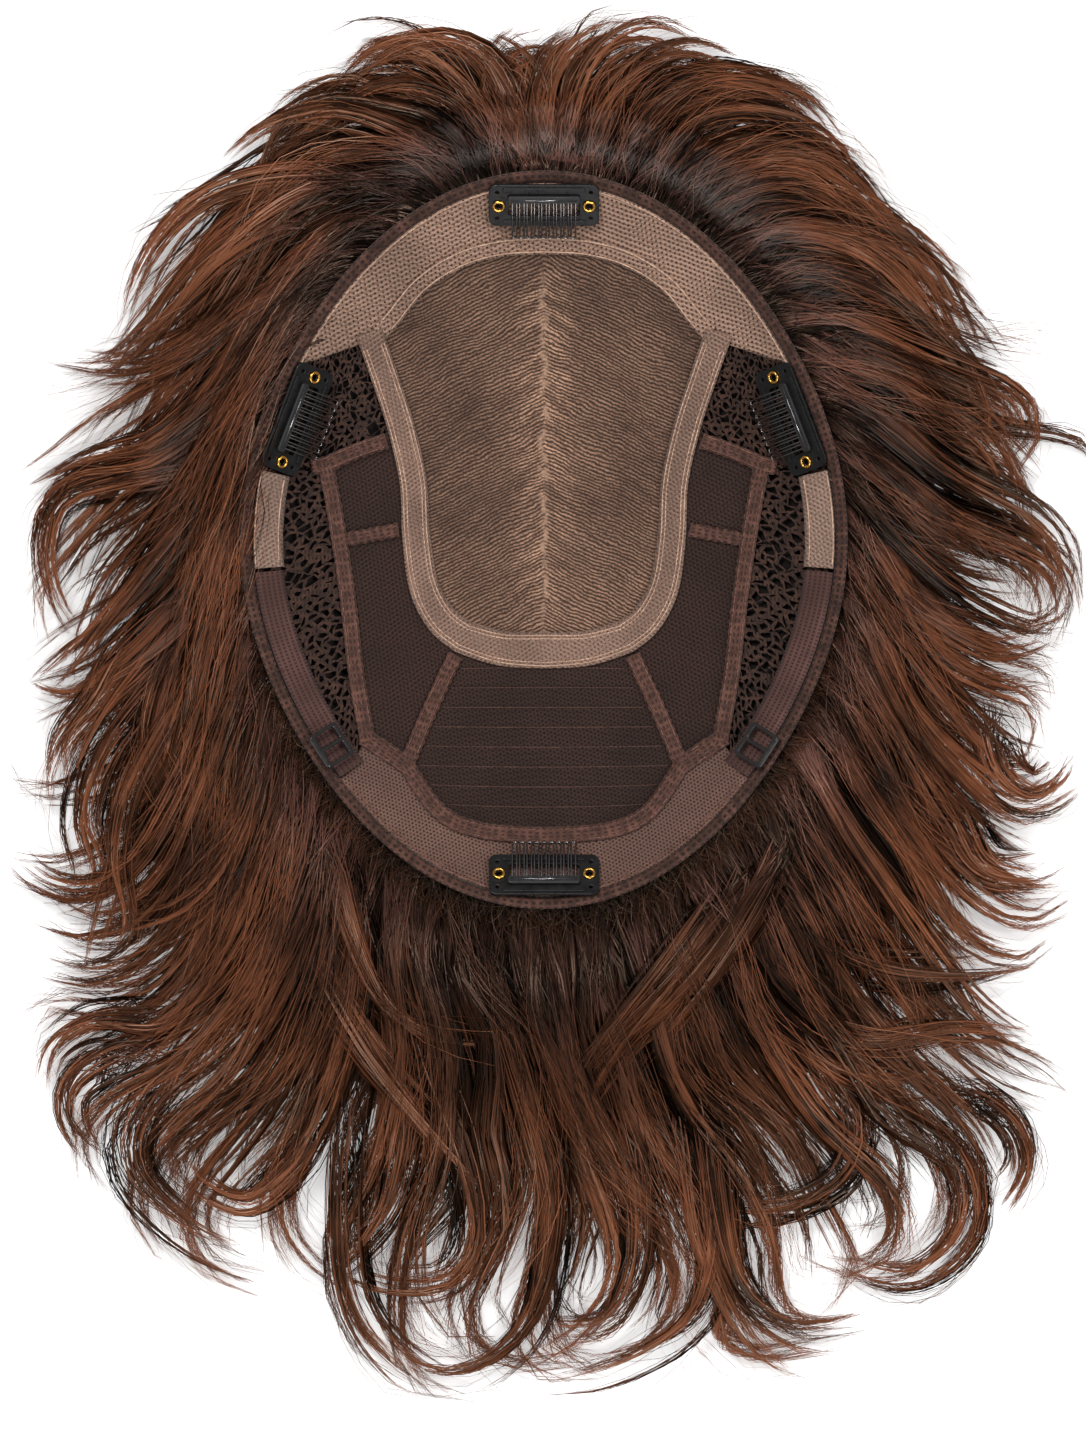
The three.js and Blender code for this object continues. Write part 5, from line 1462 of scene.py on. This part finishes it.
def lockStrands(path, count, width, rise, ends, tint, rootWidth, looseShare, sunk=0.8,
                sunkShare=0.12, late=0.0):
    n = hair["points"]
    s = np.linspace(0, 1, n)[None, :]
    wispCount = hair["wisps"]
    wisp = hairRandom.integers(0, wispCount, count)
    wispAcross = np.linspace(-1, 1, wispCount) + 0.16 * hairRandom.standard_normal(wispCount)
    wispUp = 0.75 * np.sqrt(np.clip(1 - wispAcross ** 2, 0, 1)) * hairRandom.random(wispCount)
    wispEnd = 1 - 0.26 * hairRandom.random(wispCount) ** 1.5
    wispDrift = hairRandom.standard_normal(wispCount)
    loose = hairRandom.random(count) < looseShare
    reach = ends * wispEnd[wisp] * (1 - 0.1 * hairRandom.random(count))
    reach = np.where(loose, ends * (0.8 + 0.25 * hairRandom.random(count)), reach)
    begun = late * (1 - hairRandom.random((count, 1)) ** 1.6)
    t = np.clip(begun + s * (reach[:, None] - begun), 0, 1.1)
    fine = np.linspace(0, 1, len(path))
    along = np.gradient(path, axis=0)
    along /= np.linalg.norm(along, axis=1, keepdims=True)
    x, y = np.interp(t, fine, path[:, 0]), np.interp(t, fine, path[:, 1])
    sideX, sideY = np.interp(t, fine, -along[:, 1]), np.interp(t, fine, along[:, 0])
    local = hairRandom.uniform(-1, 1, count)
    localUp = hairRandom.uniform(-1, 1, count)
    gather = np.clip((s - 0.02) / 0.3, 0, 1)
    gather = gather * gather * (3 - 2 * gather)
    rootAcross = hairRandom.uniform(-1, 1, count)[:, None] * rootWidth / 2
    taper = 1 - 0.8 * s ** 1.6
    grouped = (wispAcross[wisp][:, None] * (1 - 0.55 * s ** 1.3) * width / 2
               + local[:, None] * width / wispCount * 0.95 * taper)
    across = rootAcross * (1 - gather) + grouped * gather
    across = across + wispDrift[wisp][:, None] * 2.6 * s ** 2.2
    phase = hairRandom.uniform(0, 2 * math.pi, (2, count, 1))
    speed = hairRandom.uniform(2.5, 7, (count, 1))
    wild = np.where(loose, 6.5, 0.36)[:, None] * hairRandom.uniform(0.5, 1.3, (count, 1))
    across = across + wild * s * np.sin(speed * s + phase[0])
    x, y = x + sideX * across, y + sideY * across
    # The longest strands are drawn in a little
    x = (np.clip(x, -hairLimit["side"], hairLimit["side"]) * (1 - hairLimit["give"])
         + x * hairLimit["give"])
    y = (np.clip(y, -hairLimit["back"], hairLimit["front"]) * (1 - hairLimit["give"])
         + y * hairLimit["give"])
    body = np.sin(math.pi * np.clip(0.06 + 0.9 * s, 0, 1)) ** 0.6
    upward = (wispUp[wisp][:, None] * width * 0.3 + localUp[:, None] * 0.5 * taper) * gather
    z = (moundHeight(x, y) + rise * body + upward
         + np.where(loose, 1.2, 0.25)[:, None] * s * (1 + np.cos(speed * s + phase[1])))
    z = z - np.clip(1 - s / sunkShare, 0, 1) * sunk
    z = np.maximum(z, 0.5 + 0.5 * hairRandom.random((count, 1)))
    # Strands lean away from the middle of their lock, so that it shades as a round bundle
    lean = (-0.6 * wispAcross[wisp][:, None] - 0.35 * local[:, None]
            + 0.3 * hairRandom.standard_normal((count, 1)))
    # Painted shade: strands at the sides of a lock and deep in it are darker, which parts it from the next one
    tints = (tint + 0.15 * hairRandom.standard_normal(wispCount)[wisp]
             + 0.21 * hairRandom.standard_normal(count))
    tints = tints - 0.52 * wispAcross[wisp] ** 2 + 0.22 * localUp
    # Painted shade at the root: darker where strands come out from under the rim, and where a crossing lock's
    # inner end lies under the others
    paintedRootShade = 0.8 * np.clip(1 - s / 0.11, 0, 1) if sunk < 1 else np.clip(1 - s / sunkShare, 0, 1)
    tints = tints[:, None] * (1 - paintedRootShade)
    thick = np.where(loose, 0.55, 1.0)
    return np.stack([x, y, z], axis=2), np.clip(tints, 0, 1), lean + 0 * s, thick


def strandMesh(name, strands, tints, lean, thick, material, replaced):
    # Flat strands, each leaning to its own side, all of a piece in one mesh
    count, n = strands.shape[:2]
    along = np.gradient(strands, axis=1)
    along /= np.linalg.norm(along, axis=2, keepdims=True) + 1e-9
    sideways = np.cross(along, np.array([0, 0, 1.0]))
    sideways /= np.linalg.norm(sideways, axis=2, keepdims=True) + 1e-9
    upward = np.cross(sideways, along)
    share = np.linspace(0, 1, n)
    width = (hair["halfWidth"] * thick[:, None] * (0.25 + 0.75 * np.clip(share / 0.1, 0, 1))
             * (1 - 0.85 * share ** 4))
    width = (width * hairRandom.uniform(0.75, 1.25, (count, 1)))[..., None]
    edge = np.cos(lean)[..., None] * sideways + np.sin(lean)[..., None] * upward
    points = np.stack([strands - edge * width, strands + edge * width], axis=2).reshape(-1, 3) * mm
    base = (np.arange(count) * n * 2)[:, None] + (np.arange(n - 1) * 2)[None, :]
    quads = np.stack([base, base + 1, base + 3, base + 2], axis=2).reshape(-1, 4)
    mesh = bpy.data.meshes.new(name)
    mesh.vertices.add(len(points))
    mesh.vertices.foreach_set("co", points.ravel())
    mesh.loops.add(quads.size)
    mesh.loops.foreach_set("vertex_index", quads.ravel().astype(np.int32))
    mesh.polygons.add(len(quads))
    mesh.polygons.foreach_set("loop_start", (np.arange(len(quads)) * 4).astype(np.int32))
    mesh.polygons.foreach_set("use_smooth", np.ones(len(quads), bool))
    mesh.update(calc_edges=True)
    look = mesh.attributes.new("strandLook", "FLOAT_VECTOR", "POINT")
    values = np.zeros((count, n, 2, 3), np.float32)
    values[..., 0] = tints[:, :, None]
    values[..., 1] = share[None, :, None]
    values[..., 2] = hairRandom.random((count, 1, 1))
    look.data.foreach_set("vector", values.ravel())
    mesh.materials.append(material)
    piece = bpy.data.objects.new(name, mesh)
    bpy.context.collection.objects.link(piece)
    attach(piece, "root")
    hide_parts(replaced)
    return piece


def buildHair():
    guides = [guidePath(pixels) for pixels in lockGuides]
    sectors = ("front_left", "back_left", "back_right", "front_right")
    groups = {}
    for index, guide in enumerate(guides):
        sector = int(index / len(guides) * 4)
        for kind, locks, strands, width, rise, shortest, longest, tint, bend, rootWidth, looseShare in hairLayers:
            for k in range(locks):
                offset = ((k + 0.5) / locks - 0.5) * 11 + hairRandom.normal(0, 1.2)
                main = kind == "upper" and k == 0
                path = (guide if main else movedPath(guide, offset, hairRandom.normal(0, 0.07),
                                                     hairRandom.uniform(0.93, 1.02)))
                path = wavedPath(path, hairRandom.normal(0, 1.6), hairRandom.uniform(50, 85),
                                 hairRandom.uniform(0, 6.3))
                path = bendEnds(path, hairRandom.normal(0, 0.12 if main else bend))
                ends = longest if main else hairRandom.uniform(shortest, longest)
                lock = lockStrands(path, strands, width * hairRandom.uniform(0.8, 1.25),
                                   rise * hairRandom.uniform(0.7, 1.3), ends,
                                   tint + hairRandom.normal(0, 0.12), rootWidth,
                                   looseShare)
                if kind == "under":
                    lock = (*lock[:3], lock[3] * 1.9)
                groups.setdefault((kind, sector), []).append(lock)
    for pixels in crossLocks:
        path = resample(spline(fromPhoto(pixels), 40), 40)
        angle = math.atan2(path[0, 1], path[0, 0])
        sector = (0 if path[0, 0] < 0 and angle > 2.6 or angle > math.pi / 2
                  else (1 if path[0, 0] < 0 else 2 if angle < 0.3 else 3))
        atRim = math.hypot(*path[0]) - rimRadius(angle) < crossing["near"]
        lock = lockStrands(path, crossing["strands"],
                           crossing["width"] * hairRandom.uniform(0.75, 1.25), crossing["rise"],
                           1.0, crossing["tint"] + hairRandom.normal(0, 0.06),
                           crossing["rootWidth"], crossing["loose"],
                           crossing["sunk"], 0.18 if atRim else 0.3, 0.08 if atRim else 0.36)
        groups.setdefault(("upper", sector), []).append(lock)
    for (kind, sector), locks in sorted(groups.items()):
        strands, tints, lean, thick = (np.concatenate(part) for part in zip(*locks))
        strandMesh(f"hair_{kind}_{sectors[sector]}", strands, tints, lean, thick,
                   finish["hairDark" if kind == "under" else "hair"], "hair")
        print("hair", kind, sectors[sector], len(strands), "strands")


fuzz = dict(count=1500, points=5, start=197, end=343, short=3, long=12)


def buildFuzz():
    # Short hairs that stand out from the back edge of the cap
    n = fuzz["points"]
    angle = np.radians(hairRandom.uniform(fuzz["start"], fuzz["end"], fuzz["count"]))
    back = np.clip(-np.sin(angle) * 1.3, 0, 1) ** 2
    length = (fuzz["short"] + (fuzz["long"] - fuzz["short"])
              * back) * hairRandom.uniform(0.4, 1.1, fuzz["count"])
    turned = hairRandom.normal(0, 0.55, fuzz["count"]) + angle
    s = np.linspace(0, 1, n)[None, :]
    root = rimPoint(angle, hairRandom.uniform(-0.6, 2.2, fuzz["count"]))
    curl = hairRandom.normal(0, 0.5, (fuzz["count"], 1))
    x = root[:, 0:1] + length[:, None] * s * np.cos(turned[:, None] + curl * s)
    y = root[:, 1:2] + length[:, None] * s * np.sin(turned[:, None] + curl * s)
    rimTop = bowlHeight(root[:, 0], root[:, 1])[:, None] + 1.1
    z = (rimTop * (1 - s) + np.maximum(moundHeight(x, y) + 2.5, 1) * s
         + hairRandom.uniform(0, 1.5, (fuzz["count"], 1)) * s)
    lean = hairRandom.normal(0, 0.6, (fuzz["count"], 1)) + 0 * s
    tints = np.clip(hairRandom.normal(0.5, 0.15, (fuzz["count"], 1)) + 0 * s, 0, 1)
    thick = np.full(fuzz["count"], 0.6)
    strandMesh("hair_fuzz", np.stack([x, y, z], axis=2), tints, lean, thick, finish["hairDark"],
               "hair")
    print("short edge hairs built")


def buildHairBed():
    # Dense hair under the cap and close round the rim, coloured near black: the hair's mass with painted shade
    # that shows in the gaps between the locks
    sectors = 96
    angle = 2 * math.pi * np.arange(sectors) / sectors
    rim = rimRadius(angle)
    behind = np.clip(-np.sin(angle), 0, 1) ** 0.7
    reach = bedReach(angle) * (hair["bedShare"] + (hair["backShare"] - hair["bedShare"]) * behind)
    points = []
    for share in np.linspace(0.06, 0.985, 14):
        r = share * rim
        under = onCap(np.stack([r * np.cos(angle), r * np.sin(angle)], axis=1), -1.6)
        under[:, 2] = np.minimum(under[:, 2], hair["crest"] - 1.0)
        points.append(under)
    for share in np.linspace(0.03, 1, 12):
        r = rim + share * reach * (1 + 0.12 * share * np.sin(17 * angle + 1.3 * np.sin(5 * angle)))
        x, y = r * np.cos(angle), r * np.sin(angle)
        z = moundHeight(x, y) - 1.5 - 6 * share + 0.5 * np.sin(23 * angle + 3 * share)
        points.append(np.stack([x, y, np.maximum(z, 1.5)], axis=1))
    r = rim + reach * 0.85
    points.append(np.stack([r * np.cos(angle), r * np.sin(angle), 0 * angle + 0.25], axis=1))
    count = len(points)
    points = np.concatenate(points)
    faces = []
    for j in range(count - 1):
        for i in range(sectors):
            n = (i + 1) % sectors
            faces.append((j * sectors + i, (j + 1) * sectors + i, (j + 1) * sectors + n,
                          j * sectors + n))
    faces.append(tuple(range(sectors)))
    faces.append(tuple(range(count * sectors - 1, (count - 1) * sectors - 1, -1)))
    makePiece("hair_underlay", points, faces, finish["hairBedShade"], replacing=["hair_bed"])
    print("hair bed built")


buildHairBed()
buildHair()
buildFuzz()
